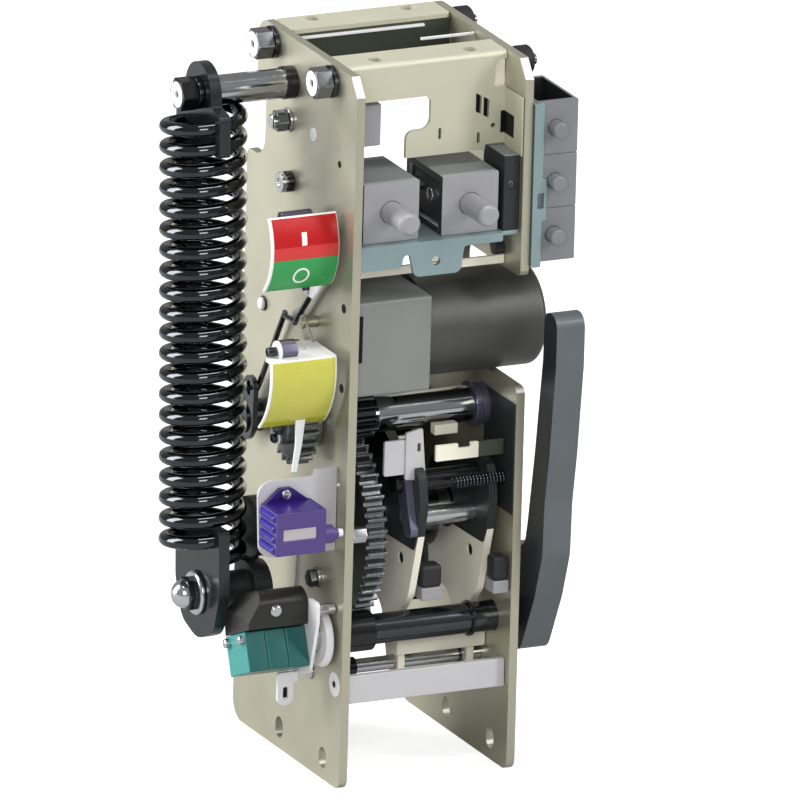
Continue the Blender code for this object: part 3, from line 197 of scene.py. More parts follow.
SPECULAR = {"black": 0.4, "hanger": 0.4, "motor": 0.3, "gearbox": 0.4, "release": 0.4, "release_top_painted_shade": 0.4,
    "box": 0.4, "plate_in_painted_shade": 0.4, "dark": 0.35, "lever_side_painted_shade": 0.45, "cover": 0.4, "rubber": 0.35,
    "hole": 0.2}
CLOUD_SCALE = 38.0
GRIT_SCALE = 900.0
made_finishes = {}


def set_inputs(node, values):
    for socket, value in values.items():
        node.inputs[socket].default_value = value
    return node


def add_node(nodes, kind, values=None):
    return set_inputs(nodes.new(kind), values or {})


def new_material(name, values):
    material = bpy.data.materials.new(name)
    material.use_nodes = True
    tree = material.node_tree
    return material, tree.nodes, tree.links, set_inputs(tree.nodes["Principled BSDF"], values)


def finish(name):
    """A node material: mottled colour, uneven gloss and a fine grain, all in the piece's own space."""
    if name in made_finishes:
        return made_finishes[name]
    color, metallic, roughness, mottling, grain = FINISHES[name][:-1]
    material, nodes, links, shader = new_material(name, {"Metallic": metallic,
        "Specular IOR Level": SPECULAR.get(name, PLAIN_SPECULAR)})
    place = add_node(nodes, "ShaderNodeTexCoord")
    scaled = add_node(nodes, "ShaderNodeMapping", {"Scale": BRUSHED.get(name, EVEN_GRAIN)})
    cloud = add_node(nodes, "ShaderNodeTexNoise", {"Scale": CLOUD_SCALE, "Detail": 5.0})
    grit = add_node(nodes, "ShaderNodeTexNoise", {"Scale": GRIT_SCALE, "Detail": 2.0})
    base = linear(color)
    tint = add_node(nodes, "ShaderNodeMix", {6: (*[v * (1 - 2 * mottling) for v in base], 1),
        7: (*[min(1.0, v * (1 + 2 * mottling)) for v in base], 1)})
    tint.data_type = "RGBA"
    gloss = add_node(nodes, "ShaderNodeMapRange", {"From Min": 0.3, "From Max": 0.7, "To Min": roughness
        * 0.88, "To Max": roughness * 1.12})
    bump = add_node(nodes, "ShaderNodeBump", {"Strength": grain, "Distance": 0.0002})
    for output, socket in (
            (place.outputs["Object"], scaled.inputs["Vector"]),
            (scaled.outputs["Vector"], cloud.inputs["Vector"]),
            (cloud.outputs["Fac"], tint.inputs[0]),
            (tint.outputs[2], shader.inputs["Base Color"]),
            (cloud.outputs["Fac"], gloss.inputs["Value"]),
            (gloss.outputs["Result"], shader.inputs["Roughness"]),
            (scaled.outputs["Vector"], grit.inputs["Vector"]),
            (grit.outputs["Fac"], bump.inputs["Height"]),
            (bump.outputs["Normal"], shader.inputs["Normal"])):
        links.new(output, socket)
    made_finishes[name] = material
    return material


# Mesh tools

AXES = {
    "X": Matrix(((0, 0, 1), (1, 0, 0), (0, 1, 0))),
    "Y": Matrix(((1, 0, 0), (0, 0, 1), (0, 1, 0))),
    "Z": Matrix(((1, 0, 0), (0, 1, 0), (0, 0, 1))),
}


def add_object(name, data):
    item = bpy.data.objects.new(name, data)
    bpy.context.scene.collection.objects.link(item)
    return item


def mesh_object(name, shape):
    """Turns a bmesh in drawing millimetres into an object in metres."""
    for vert in shape.verts:
        vert.co = (vert.co + OFFSET) * MM
    bmesh.ops.recalc_face_normals(shape, faces=shape.faces)
    data = bpy.data.meshes.new(name)
    shape.to_mesh(data)
    shape.free()
    data.shade_smooth()
    return add_object(name, data)


def make(name, shape, look, body, node=None, edge=0.35, segments=2):
    """A piece that rides on a body and stands for a CAD node."""
    item = mesh_object(name, shape)
    item.data.materials.append(finish(look))
    if edge:
        rounding = item.modifiers.new("rounded edges", "BEVEL")
        rounding.width = edge * MM
        rounding.segments = segments
        rounding.limit_method = "ANGLE"
        rounding.angle_limit = rad(28)
        rounding.use_clamp_overlap = True
    shading = item.modifiers.new("flat faces", "WEIGHTED_NORMAL")
    shading.keep_sharp = False
    shading.weight = 80
    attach(item, body)
    if node:
        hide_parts(node)
    return item


def block_shape(x, y, z):
    shape = bmesh.new()
    bmesh.ops.create_cube(shape, size=1.0)
    for vert in shape.verts:
        vert.co = Vector(((x[0] + x[1]) / 2 + vert.co.x * (x[1] - x[0]), (y[0] + y[1]) / 2 + vert.co.y
            * (y[1] - y[0]), (z[0] + z[1]) / 2 + vert.co.z * (z[1] - z[0])))
    return shape


def block(name, x, y, z, look, node=None, edge=0.5, segments=3):
    return make(name, block_shape(x, y, z), look, FRAME, node, edge, segments)


def flat_shape(facing, outlines, span):
    """Plate cut to an outline with holes. facing X: (Y, Z); Y: (X, Z); Z: (X, Y)."""
    shape = bmesh.new()
    for outline in outlines:
        verts = [shape.verts.new((u, v, span[0])) for u, v in outline]
        for here, after in zip(verts, verts[1:] + verts[:1]):
            shape.edges.new((here, after))
    bmesh.ops.triangle_fill(shape, use_beauty=True, use_dissolve=False, edges=shape.edges[:],
        normal=(0, 0, 1))
    grown = bmesh.ops.extrude_face_region(shape, geom=shape.faces[:])
    lift = Vector((0, 0, span[1] - span[0]))
    for part in grown["geom"]:
        if isinstance(part, bmesh.types.BMVert):
            part.co += lift
    turn = AXES[facing]
    for vert in shape.verts:
        vert.co = turn @ vert.co
    return shape


def flat(name, facing, outlines, span, look, body=FRAME, node=None, edge=0.4, segments=2):
    return make(name, flat_shape(facing, outlines, span), look, body, node, edge, segments)


def sleeve(inner, outer, start, end):
    """Profile of a plain ring or disc."""
    return [(inner, start), (outer, start), (outer, end), (inner, end)]


def turned_shape(centre, profile, axis="X", sides=56):
    """Lathe form of (radius, place along the axis) points; a profile that starts off the axis is a ring."""
    shape = bmesh.new()
    verts = [shape.verts.new((radius, 0, along)) for radius, along in profile]
    edges = [shape.edges.new(pair) for pair in zip(verts, verts[1:])]
    if profile[0][0] > 0:
        edges.append(shape.edges.new((verts[-1], verts[0])))
    bmesh.ops.spin(shape, geom=verts + edges, cent=(0, 0, 0), axis=(0, 0, 1), angle=2 * math.pi, steps=sides,
        use_merge=True)
    bmesh.ops.remove_doubles(shape, verts=shape.verts, dist=0.0005)
    turn = AXES[axis]
    spot = {"X": (0, *centre), "Y": (centre[0], 0, centre[-1]), "Z": (*centre, 0)}[axis]
    for vert in shape.verts:
        vert.co = turn @ vert.co + Vector(spot)
    return shape


def turned(name, centre, profile, look, body=FRAME, node=None, axis="X", edge=0.3, sides=56):
    return make(name, turned_shape(centre, profile, axis, sides), look, body, node, edge)


def rod(name, centre, span, radius, look, body=FRAME, node=None, axis="X", edge=0.5):
    return turned(name, centre, sleeve(0, radius, span[1], span[0]), look, body, node, axis, edge)


def hex_nut(name, centre, span, flats, look, body=FRAME, bore=0):
    holes = [circle(centre, bore, 32)] if bore else []
    hexagon = [polar(centre, flats / math.sqrt(3), 60 * step) for step in range(6)]
    return flat(name, "X", [hexagon] + holes, span, look, body, edge=0.7)


def rounded(corners, chords=8):
    points = []
    count = len(corners)
    for index, (u, v, radius) in enumerate(corners):
        here = Vector((u, v))
        if radius <= 0:
            points.append(here)
            continue
        before = (Vector(corners[index - 1][:2]) - here).normalized()
        after = (Vector(corners[(index + 1) % count][:2]) - here).normalized()
        half = before.angle(after) / 2
        reach = radius / math.tan(half)
        middle = here + (before + after).normalized() * (radius / math.sin(half))
        start = here + before * reach - middle
        sweep = start.angle_signed(here + after * reach - middle)
        for step in range(chords + 1):
            points.append(middle + Matrix.Rotation(-sweep * step / chords, 2) @ start)
    return [(point[0], point[1]) for point in points]


def box_outline(u, v, radius, chords=8):
    return rounded([(u[0], v[0], radius), (u[1], v[0], radius), (u[1], v[1], radius), (u[0], v[1], radius)],
        chords)


def circle(centre, radius, sides=40, stretch=0.0):
    points = []
    for step in range(sides):
        angle = 2 * math.pi * (step + 0.5) / sides
        lift = math.copysign(stretch / 2, math.sin(angle))
        points.append((centre[0] + radius * math.cos(angle), centre[1] + radius * math.sin(angle) + lift))
    return points


def arc(centre, radius, first, last, steps=32):
    return [polar(centre, radius, first + (last - first) * step / steps) for step in range(steps + 1)]


def band(centre, radius, thickness, first, last, steps=32):
    return arc(centre, radius, first, last, steps) + arc(centre, radius - thickness, last, first, steps)


def tube_shape(points, radius, sides=12):
    """Round wire swept along points with a steady frame."""
    shape = bmesh.new()
    points = [Vector(point) for point in points]
    rings = []
    normal = None
    for index, point in enumerate(points):
        ahead = points[min(index + 1, len(points) - 1)] - points[max(index - 1, 0)]
        ahead.normalize()
        if normal is None:
            normal = ahead.orthogonal().normalized()
        normal = (normal - ahead * normal.dot(ahead)).normalized()
        side = ahead.cross(normal)
        rings.append([shape.verts.new(point + (normal * math.cos(2 * math.pi * k / sides) + side
            * math.sin(2 * math.pi * k / sides)) * radius) for k in range(sides)])
    for ring, after in zip(rings, rings[1:]):
        for k in range(sides):
            shape.faces.new((ring[k], ring[(k + 1) % sides], after[(k + 1) % sides], after[k]))
    shape.faces.new(rings[0][::-1])
    shape.faces.new(rings[-1])
    return shape


def smooth_path(points, steps):
    """Catmull-Rom points through a bent wire's corners."""
    spots = [Vector(point) for point in points]
    spots = [spots[0] * 2 - spots[1]] + spots + [spots[-1] * 2 - spots[-2]]
    path = []
    for a, b, c, d in zip(spots, spots[1:], spots[2:], spots[3:]):
        for step in range(steps):
            t = step / steps
            path.append(0.5 * ((2 * b) + (c - a) * t + (2 * a - 5 * b + 4 * c - d) * t ** 2
                + (3 * b - a - 3 * c + d) * t ** 3))
    path.append(spots[-2])
    return path


def tube(name, points, radius, look, body=FRAME, node=None, sides=12):
    return make(name, tube_shape(points, radius, sides), look, body, node, 0)


def cut(item, *shapes):
    """Cuts shapes out of an item and keeps the result as plain mesh."""
    tools = [mesh_object("opening", shape) for shape in shapes]
    for tool in tools:
        change = item.modifiers.new("cut", "BOOLEAN")
        change.operation = "DIFFERENCE"
        change.object = tool
        item.modifiers.move(len(item.modifiers) - 1, 0)
    kept = [modifier for modifier in item.modifiers if modifier.type != "BOOLEAN"]
    for modifier in kept:
        modifier.show_viewport = False
    bpy.context.view_layer.update()
    data = bpy.data.meshes.new_from_object(item.evaluated_get(bpy.context.evaluated_depsgraph_get()))
    for modifier in [m for m in item.modifiers if m.type == "BOOLEAN"]:
        item.modifiers.remove(modifier)
    for modifier in kept:
        modifier.show_viewport = True
    item.data = data
    data.shade_smooth()
    for tool in tools:
        bpy.data.objects.remove(tool, do_unlink=True)


def paint(item, look, *directions, near=0.9):
    """Gives the faces that look in one of the directions a second finish."""
    item.data.materials.append(finish(look))
    number = len(item.data.materials) - 1
    for face in item.data.polygons:
        if any(face.normal.dot(Vector(direction)) > near for direction in directions):
            face.material_index = number
    return item


def gear_outline(teeth, phase, centre):
    pitch = MODULE * teeth / 2
    tip = pitch + 0.85 * MODULE
    root = pitch - 1.15 * MODULE
    base = pitch * math.cos(PRESSURE_ANGLE)
    half = math.pi / (2 * teeth) - BACKLASH / (2 * pitch)
    roll = math.tan(PRESSURE_ANGLE) - PRESSURE_ANGLE

    def half_width(radius):
        slope = math.acos(min(1.0, base / radius))
        return half + roll - (math.tan(slope) - slope)

    low = max(root, base)
    undercut = base > root
    flank = [(root, half_width(low) * (0.85 if undercut else 1.0))]
    for k in range(0 if undercut else 1, 5):
        radius = low + (tip - low) * k / 4
        flank.append((radius, half_width(radius)))
    points = []
    for tooth in range(teeth):
        middle = rad(phase) + 2 * math.pi * tooth / teeth
        places = [(radius, middle - width) for radius, width in flank]
        places += [(radius, middle + width) for radius, width in reversed(flank)]
        for radius, angle in places:
            points.append((centre[0] + radius * math.cos(angle), centre[1] + radius * math.sin(angle)))
    return points


# Side plates and what is fixed to them

def plate_outline(notched):
    corners = [(0, 0, 6), (141, 0, 12), (141, 331, 4), (118, 331, 12), (118, 370, 2), (130, 370, 3),
        (130, HEIGHT, 11), (8.5, HEIGHT, 1), (0, HEIGHT - 10.5, 1)]
    if notched:
        corners += [(0, 286, 4), (76, 286, 8), (76, 222, 8), (0, 222, 5)]
    return rounded(corners)


def side_plates():
    shared = [circle((y, 12.4), 4.75, 40, 2.5) for y in (22, 79.4)]
    shared += [circle((y, TIE_Z), 4.3) for y in TIE_Y]
    shared += [circle(MAIN_AXIS, 14.3), circle(HAND_AXIS, 8.8), circle(OUTPUT_AXIS, 9.3),
        circle(CROSS_AXIS, 4.3), circle(REAR_CROSS_AXIS, 4.3), circle(PINION_AXIS, 8.3)]
    left = [circle(MOTOR_PINION_AXIS, 5.3), *[circle(spot, 2, 20) for spot in PLUG_SPOTS],
        circle((11.8, 178), 2.5, 24, 7), circle((55, 363), 4, 24), circle(ROD_AXIS, 6.3),
        circle(DRUM_AXIS, 3.3), circle(FLAG_PIVOT, 3.3)]
    chamfer = Vector((0, -10.5, 8.5)).normalized()
    window = box_outline((13.5, 27.5), (363, 375), 0.6, 4)
    for side, notched, holes, span in (("left", False, left, (0, PLATE)),
            ("right", True, [window], (RIGHT_IN, RIGHT_OUT))):
        sheet = flat(f"{side}_plate_sheet", "X", [plate_outline(notched)] + shared + holes, span, "plate",
            node=f"{side}_side_plate", edge=0.6)
        # The front chamfer faces are painted white: a painted highlight along the plates' chamfer.
        paint(sheet, "white", chamfer, near=0.98)
    # A thin dark card on the right plate's inner face: painted shade and painted reflection.
    block("right_plate_painted_shade_card", (101.5, 101.9), (1, 40), (148, 212), "dark", edge=0.1)


def fasteners():
    # A white disc in the boss hole: painted highlight on the boss.
    turned("boss_painted_highlight", (55, 363), sleeve(0, 3.8, -0.6, 4.6), "white")
    turned("plate_bolt_washer", (88, 362), sleeve(0, 7, -0.1, -1.8), "steel")
    hex_nut("plate_bolt_head", (88, 362), (-8.5, -1.8), 11, "nut")
    turned("plate_bolt_tip", (88, 362), [(0, -8.0), (4.2, -8.0), (4.2, -10.5), (3.4, -11.2), (0, -11.2)],
        "steel")
    turned("plate_pin", (83, 328), [(0, 0), (4.6, 0), (4.6, -5.0), (5.8, -5.0), (5.8, -7.4), (2.4, -7.4),
        (2.2, -6.6), (0, -6.6)], "steel")
    turned("plate_pin_band", (83, 328), sleeve(0, 5.9, -0.2, -3.6), "black")
    turned("low_bolt_washer", (35.4, 112.9), sleeve(0, 6, -0.1, -1.5), "steel")
    hex_nut("low_bolt_head", (35.4, 112.9), (-5.5, -1.5), 9, "nut")
    turned("countersunk_screw", (9, 59), [(0, -0.25), (2.4, -0.25), (6.8, -0.25), (7.0, 0.3), (0, 3)],
        "white")
    # The socket is a dark disc: painted shade in the recess.
    turned("screw_socket", (9, 59), sleeve(0, 2.0, -0.4, 0.4), "hole")
    hex_nut("plate_inner_cap", (4.5, 146), (5.1, 13.8), 8.5, "steel")
    # Dark plugs fill the plate's small holes: painted shade seen through them.
    for index, (spot, radius) in enumerate(zip(PLUG_SPOTS, (2.0, 2.6, 2.6))):
        rod(f"plate_hole_painted_shade_{index + 1}", spot, (-0.3, 3), radius, "hole", edge=0.2)
    strip = [(41.6, 127), (45, 127), (48.6, 98), (45.2, 98)]
    flat("switch_link_strip", "X", [strip], (-8, -6.6), "strip")
    turned("plate_rivet", (114, 248.3), [(0, 0), (3.4, 0), (3.4, -2.2), (2.4, -3), (0, -3)], "white")
    turned("plate_rivet_collar", (114, 248.3), sleeve(0, 4.2, 0, -1.0), "dark")


def tie_rods():
    for name, y in zip(("front", "rear"), TIE_Y):
        centre = (y, TIE_Z)
        turned(f"{name}_tie_bar", centre, [(0, 122.5), (3, 122.5), (3, 119), (4, 119), (4, 101.7), (5, 101.7),
            (5, 5.3), (4, 5.3), (4, -11), (0, -11)], "polished", node=f"{name}_tie_rod")
        turned(f"{name}_tie_washer", centre, sleeve(4.2, 9.2, -0.3, -2.8), "shaft")
        hex_nut(f"{name}_tie_nut", centre, (-12.8, -2.8), 16, "nut", bore=4.0)
        # The stud's end is a white ring: painted highlight on the steel end face.
        turned(f"{name}_tie_face", centre, [(2.3, -11.6), (5.9, -11.6), (7.2, -13.1), (2.3, -13.1)], "white")
        turned(f"{name}_bush_body", centre, [(4.3, 119.3), (7, 119.3), (8.5, 117.8), (8.5, 110.3),
            (7.5, 110.3), (7.5, 107.3), (4.3, 107.3)], "rubber", node=f"{name}_rubber_bush")


def top_panels():
    low, high = INSIDE
    section = rounded([(24, 354, 0), (26.5, 354, 0), (26.5, 407.5, 0.5), (46, 407.5, 0), (46, 410, 0),
        (24, 410, 3)])
    panel = flat("front_panel_sheet", "X", [section], (low, high), "panel", node="top_front_panel", edge=0.35)
    openings = [rounded([(low - 5, 388.5, 0), (56, 388.5, 4), (56, 369.5, 6), (41.5, 369.5, 5),
        (41.5, 349, 0), (low - 5, 349, 0)]), rounded([(high - 12, 357, 1), (high + 5, 357, 0),
        (high + 5, 349, 0), (high - 12, 349, 0)]), rounded([(high - 7.5, 405.5, 5), (high + 5, 405.5, 0),
        (high + 5, 389.5, 0), (high - 7.5, 389.5, 1)]), [(83.4, 387.2), (83.4, 376.5), (86.9, 374.4),
        (86.9, 385.1)], [(88.1, 384.6), (88.1, 373.9), (91.6, 371.8), (91.6, 382.5)],
        circle((94.3, 367.5), 1.4, 16), circle((62, 366), 0.9, 12, 5), circle((85.5, 361), 0.9, 12, 5),]
    screw_holes = [turned_shape((x, 33), sleeve(0, 4.1, 415, 400), "Z", 40) for x in STRIP_HOLES]
    cut(panel, *[flat_shape("Y", [outline], (21, 30)) for outline in openings], *screw_holes)
    # The dark cards behind the panel's openings and the right plate's window are painted shade seen through
    # them.
    for name, x, y, z, look, edge in (("panel_window_painted_shade", (81, 96.5), (26.6, 27.2), (364, 389), "hole",
            0.1), ("panel_slot_painted_shade", (60, 88), (26.6, 27.2), (355, 369), "hole", 0.1),
            ("panel_corner_back", (93, high), (26.6, 27.2), (389, 407), "cheek", 0.1),
            ("panel_side_flange", (high - 0.8, high), (0.8, 24), (355.5, 389), "panel", 0.2),
            ("panel_side_window_painted_shade", (high - 1.0, high - 0.5), (11.5, 23.9), (363, 375.5), "hole", 0.05),
            ("panel_corner_window_painted_shade", (98.6, high - 0.2), (23.8, 24.4), (363, 375.5), "hole", 0.05),
            # The rear skirt takes the plate colour in painted shade.
            ("rear_strip_skirt", (low, high), (98.4, 99.8), (386, 407.6), "plate_in_painted_shade", 0.3),
            # Thin white strips along sheet edges inside the top: painted highlight lines.
            ("rear_strip_painted_highlight", (6.8, 85.3), (96.4, 98.5), (404.4, 405.8), "white", 0.2),
            ("inner_painted_highlight", (69.3, 101.6), (66.4, 68), (406.6, 408), "white", 0.2),
            ("plate_side_box", (5.2, 29), (30, 44), (361, 385), "release", 0.8)):
        block(name, x, y, z, look, edge=edge)
    rear = box_outline((low, high), (98, 121), 3)
    flat("rear_strip_sheet", "Z", [rear] + [circle((x, 114.8), 4.1) for x in STRIP_HOLES], (407.5, 410),
        "panel", node="top_rear_strip", edge=0.35)


# Closing spring, hangers and crank

def leaned(points):
    """Spring frame (across, up from the crank pin) to (Y, Z) in the drawing."""
    sin, cos = math.sin(LEAN), math.cos(LEAN)
    return [(PIN_AXIS[0] + u * cos + v * sin, PIN_AXIS[1] - u * sin + v * cos) for u, v in points]


def spring_path(first, last):
    path = []
    count = round((last - first) * 34)
    for step in range(count + 1):
        turn = first + (last - first) * step / count
        angle = 2 * math.pi * turn
        (y, z), = leaned([(COIL_R * math.cos(angle), COIL_START + PITCH * turn)])
        path.append((SPRING_X - COIL_R * math.sin(angle), y, z))
    return path


def hanger(name, outline, hole_at, hole_r, turns, body, node):
    """Hanger plate with a groove where the end coils thread through it."""
    plate = flat(name, "X", [leaned(outline), leaned(circle((0, hole_at), hole_r))],
        (SPRING_X - 3.25, SPRING_X + 3.25), "hanger", body, node, edge=0.7)
    cut(plate, tube_shape(spring_path(*turns), WIRE_R + 0.2, WIRE_SIDES))
    # Faces towards the front and the top get the lighter finish: painted highlight.
    paint(plate, "hanger_edge_painted_highlight", (0, -1, 0), (0, 0, 1), near=0.6)


def spring_turns(name, first, last, body, node=None):
    item = make(name, tube_shape(spring_path(first, last), WIRE_R, WIRE_SIDES), "spring", body, node)
    item.modifiers.clear()
    return item


def closing_spring():
    """Live turns on the spring head with a mesh of their own, and dead turns that ride on their hangers."""
    first, last = 1.75, TURNS - 1.25
    coil = spring_turns("closing_spring_coil", first, last, "spring_head", "closing_spring")
    spring_turns("spring_foot_turns", -0.5, first, "spring_foot")
    spring_turns("spring_head_turns", last, TURNS + 0.95, "spring_head")
    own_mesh(coil)
    half = 29.0
    low = rounded([(-half, 3, 12), (-21, -19, 14), (0, -26.5, 20), (21, -19, 14), (half, 3, 12),
        (half, 41.25, 2), (-half, 41.25, 2)])
    hanger("lower_hanger_plate", low, 0, 7.3, (-0.5, 1.75), "spring_foot", "spring_lower_hanger")
    bottom = COIL_START + PITCH * TURNS - 10
    shoulder, neck, eye = REACH - 8, REACH - 5, 17.2
    corners = [(-half, bottom, 2), (half, bottom, 2), (half, shoulder, 4), (eye, neck, 2)]
    corners += [(y, z, 0) for y, z in arc((0, REACH), eye, 0, 180, 24)]
    corners += [(-eye, neck, 2), (-half, shoulder, 4)]
    hanger("upper_hanger_plate", rounded(corners, 5), REACH, 6.3, (TURNS - 1.75, TURNS + 1.1), "spring_head",
        "spring_upper_hanger")
    turned("spring_bar", ROD_AXIS, [(0, 9), (6, 9), (6, -0.3), (8.4, -0.3), (8.4, -50.4), (6, -50.4),
        (6, -66), (0, -66)], "polished", node="upper_spring_rod")
    turned("spring_bar_collar", ROD_AXIS, sleeve(8.2, 9.2, -0.2, -7), "black")
    turned("spring_bar_washer", ROD_AXIS, sleeve(6.1, 9.2, -57.6, -60.1), "shaft")
    hex_nut("spring_bar_nut", ROD_AXIS, (-70, -60.1), 17, "black", bore=4)
    # The bar's end is a white ring: painted highlight on the steel end face.
    turned("spring_bar_face", ROD_AXIS, [(2.3, -68.6), (5.9, -68.6), (7.4, -70.3), (2.3, -70.3)], "white")


def crank():
    outline = arc(PIN_AXIS, 15, 20, -290, 40) + arc(MAIN_AXIS, 17, -60, -385, 40)
    flat("crank_arm", "X", [outline], (-28.6, -17.8), "dark", "main_shaft", "charging_crank", edge=1.2)
    turned("crank_pin", PIN_AXIS, [(0, -27), (10, -27), (10, -50.4), (7, -50.4), (7, -60), (0, -60)], "dark",
        "main_shaft")
    turned("crank_washer", PIN_AXIS, [(7.3, -57.6), (12.5, -57.6), (12.5, -59.2), (11.5, -60.2),
        (7.3, -60.2)], "steel", "main_shaft", "crank_pin_nut")
    hex_nut("crank_nut_body", PIN_AXIS, (-65.5, -60.2), 17, "shaft", "main_shaft")
    dome = [(8 * math.cos(rad(angle)), -65.3 - 7.2 * math.sin(rad(angle))) for angle in range(0, 91, 10)]
    turned("crank_nut_dome", PIN_AXIS, [(0, -64)] + [(8, -64)] + dome[:-1] + [(0, dome[-1][1])], "steel",
        "main_shaft", edge=0)


# Gear train and shafts

def gear_train():
    to_pinion = direction(MAIN_AXIS, PINION_AXIS)
    to_motor = direction(PINION_AXIS, MOTOR_PINION_AXIS)
    holes = [circle(polar(MAIN_AXIS, 36, 30 + 60 * step), 8.5, 32) for step in range(6)]
    flat("drive_gear_rim", "X", [gear_outline(DRIVE_TEETH, to_pinion, MAIN_AXIS), circle(MAIN_AXIS, 11.3)]
        + holes, (18, 29.5), "gear", "main_shaft", "drive_gear", edge=0.3)
    turned("drive_gear_hub", MAIN_AXIS, sleeve(11, 19, 34, 14), "shaft", "main_shaft")
    rod("main_shaft_bar", MAIN_AXIS, (-17.5, 110), 11, "polished", "main_shaft")
    rod("main_shaft_journal", MAIN_AXIS, (-26.6, -17), 9, "shaft", "main_shaft")
    flat("inner_pinion", "X", [gear_outline(PINION_TEETH, to_pinion + 180 + 180 / PINION_TEETH, PINION_AXIS)],
        (15, 34), "shaft", "pinion_shaft", "pinion_shaft", edge=0.3)
    rod("pinion_bar", PINION_AXIS, (-18.5, 101), 8, "polished", "pinion_shaft")
    flat("outer_gear", "X", [gear_outline(OUTER_TEETH, to_motor, PINION_AXIS)], (-17, -7), "gear",
        "pinion_shaft", edge=0.3)
    turned("outer_gear_hub", PINION_AXIS, sleeve(8, 14, -1.2, -8), "gear", "pinion_shaft")
    hex_nut("pinion_bar_bolt", PINION_AXIS, (-23.5, -18.5), 10, "shaft", "pinion_shaft")
    flat("motor_gear", "X", [gear_outline(MOTOR_TEETH, to_motor + 180 + 180 / MOTOR_TEETH,
        MOTOR_PINION_AXIS)], (-17, -7), "gear", "motor_pinion", "motor_pinion", edge=0.3)
    rod("motor_bar", MOTOR_PINION_AXIS, (-21, 5), 5, "steel", "motor_pinion")
    flange = [(11.3, 8), (18, 8), (18, 5.3), (14, 5.3), (14, 0), (11.3, 0)]
    for side, face, inward in (("left", 0, 1), ("right", RIGHT_OUT, -1)):
        profile = [(radius, face + inward * along) for radius, along in flange]
        turned(f"{side}_main_flange", MAIN_AXIS, profile, "lilac", node=f"{side}_main_bush")
    turned("pinion_bearing_ring", PINION_AXIS, [(8.3, 101.7), (12.4, 101.7), (12.4, 98.4), (11.4, 98.4),
        (11.4, 97.6), (12.8, 97.6), (12.8, 93.6), (8.3, 93.6)], "lilac", node="pinion_bearing")
    turned("pinion_sleeve", PINION_AXIS, sleeve(8, 10.2, 93.2, 35), "polished", "pinion_shaft")
    turned("outer_gear_cap", PINION_AXIS, sleeve(0, 11, -21, -16.8), "gear", "pinion_shaft")
    turned("gear_cap_washer", (46, 193), sleeve(0, 3.8, -21, -22), "white", "pinion_shaft")
    hex_nut("gear_cap_bolt", (46, 193), (-25, -22), 5, "shaft", "pinion_shaft")


def cam_and_output():
    reach = math.dist(OUTPUT_AXIS, MAIN_AXIS)
    arm, roller_r, base_r = 44.0, 9.0, 22.0
    touch = base_r + roller_r + 0.6
    opening = math.acos((reach ** 2 + arm ** 2 - touch ** 2) / (2 * reach * arm))
    rest = direction(OUTPUT_AXIS, MAIN_AXIS) - math.degrees(opening)
    centres = []
    for step in range(-6, 100):
        turn = SHAFT_TURN * step / 93
        y, z = polar(OUTPUT_AXIS, arm, rest - max(0.0, min(SHAFT_TURN, turn)) * OUTPUT_TURN / SHAFT_TURN)
        centres.append(Vector(polar((0, 0), math.dist(MAIN_AXIS, (y, z)),
            direction(MAIN_AXIS, (y, z)) - turn)))
    points = []
    for before, here, after in zip(centres, centres[1:], centres[2:]):
        inward = (after - before).orthogonal().normalized()
        if inward.dot(here) > 0:
            inward.negate()
        points.append(here + inward * (roller_r + 0.6))
    start = math.degrees(math.atan2(points[-1].y, points[-1].x))
    end = math.degrees(math.atan2(points[0].y, points[0].x))
    start += 0 if start > end - 360 else 360
    back = [Vector(polar((0, 0), base_r, start + (end - 360 - start) * step / 28)) for step in range(1, 28)]
    outline = [(p.x + MAIN_AXIS[0], p.y + MAIN_AXIS[1]) for p in points + back]
    flat("closing_cam", "X", [outline], (66, 78), "shaft", "main_shaft", "main_shaft", edge=0.5)
    roller = polar(OUTPUT_AXIS, arm, rest)
    flat("follower_arm", "X", [arc(roller, 10, rest - 90, rest + 90, 24)
        + arc(OUTPUT_AXIS, 15, rest + 90, rest + 270, 32), circle(OUTPUT_AXIS, 9)], (59, 65), "shaft",
        "output_shaft", "cam_follower")
    rod("follower_roller", roller, (64, 79), roller_r, "steel", "output_shaft")
    rod("follower_pin", roller, (57.5, 80.5), 3.5, "steel", "output_shaft")
    end = polar(OUTPUT_AXIS, 34, -76)
    flat("output_arm", "X", [arc(end, 9, -166, 14, 24) + arc(OUTPUT_AXIS, 15, 14, 194, 32),
        circle(OUTPUT_AXIS, 9), circle(end, 4.2, 28)], (80, 90), "shaft", "output_shaft", "output_lever")
    rod("output_bar", OUTPUT_AXIS, (-11, 111), 9, "shaft", "output_shaft", "output_shaft")
    flat("indicator_arm", "X", [arc(OUTPUT_AXIS, 13, 180, 360, 24) + arc(OUTPUT_HOOK, 7, 0, 180, 20),
        circle(OUTPUT_HOOK, 2.3, 24, 4)], (-9.5, -6.5), "shaft", "output_shaft")


def drum_hook():
    radius = 31
    reach = math.dist(OUTPUT_AXIS, OUTPUT_HOOK) * math.sin(rad(OUTPUT_TURN / 2))
    return polar(DRUM_AXIS, radius, -90 - math.degrees(math.asin(reach / radius)))


def link():
    front, rear = drum_hook(), OUTPUT_HOOK
    points = [(-12, *front), (-5.4, *front), (-4, front[0] + 1.4, front[1] - 1.4), (-4, 62.5, 254.5),
        (-4, 64.5, 253), (-4, 77, 252.4), (-4, 79.5, 251), (-4, rear[0] - 1.4, rear[1] + 1.4), (-5.4, *rear),
        (-12, *rear)]
    tube("link_wire", smooth_path(points, 4), 1.6, "shaft", "indicator_link", "indicator_link", 14)


# Indicators

def panel_patch(name, centre, radius, x, angles, look, body, lift=0.12, steps=10):
    """A thin field on a curved sheet: printed colour, and also bands of painted light and shade over the
    print.
    """
    return flat(name, "X", [band(centre, radius + lift, 0.3, angles[0], angles[1], steps)], x, look, body,
        edge=0)


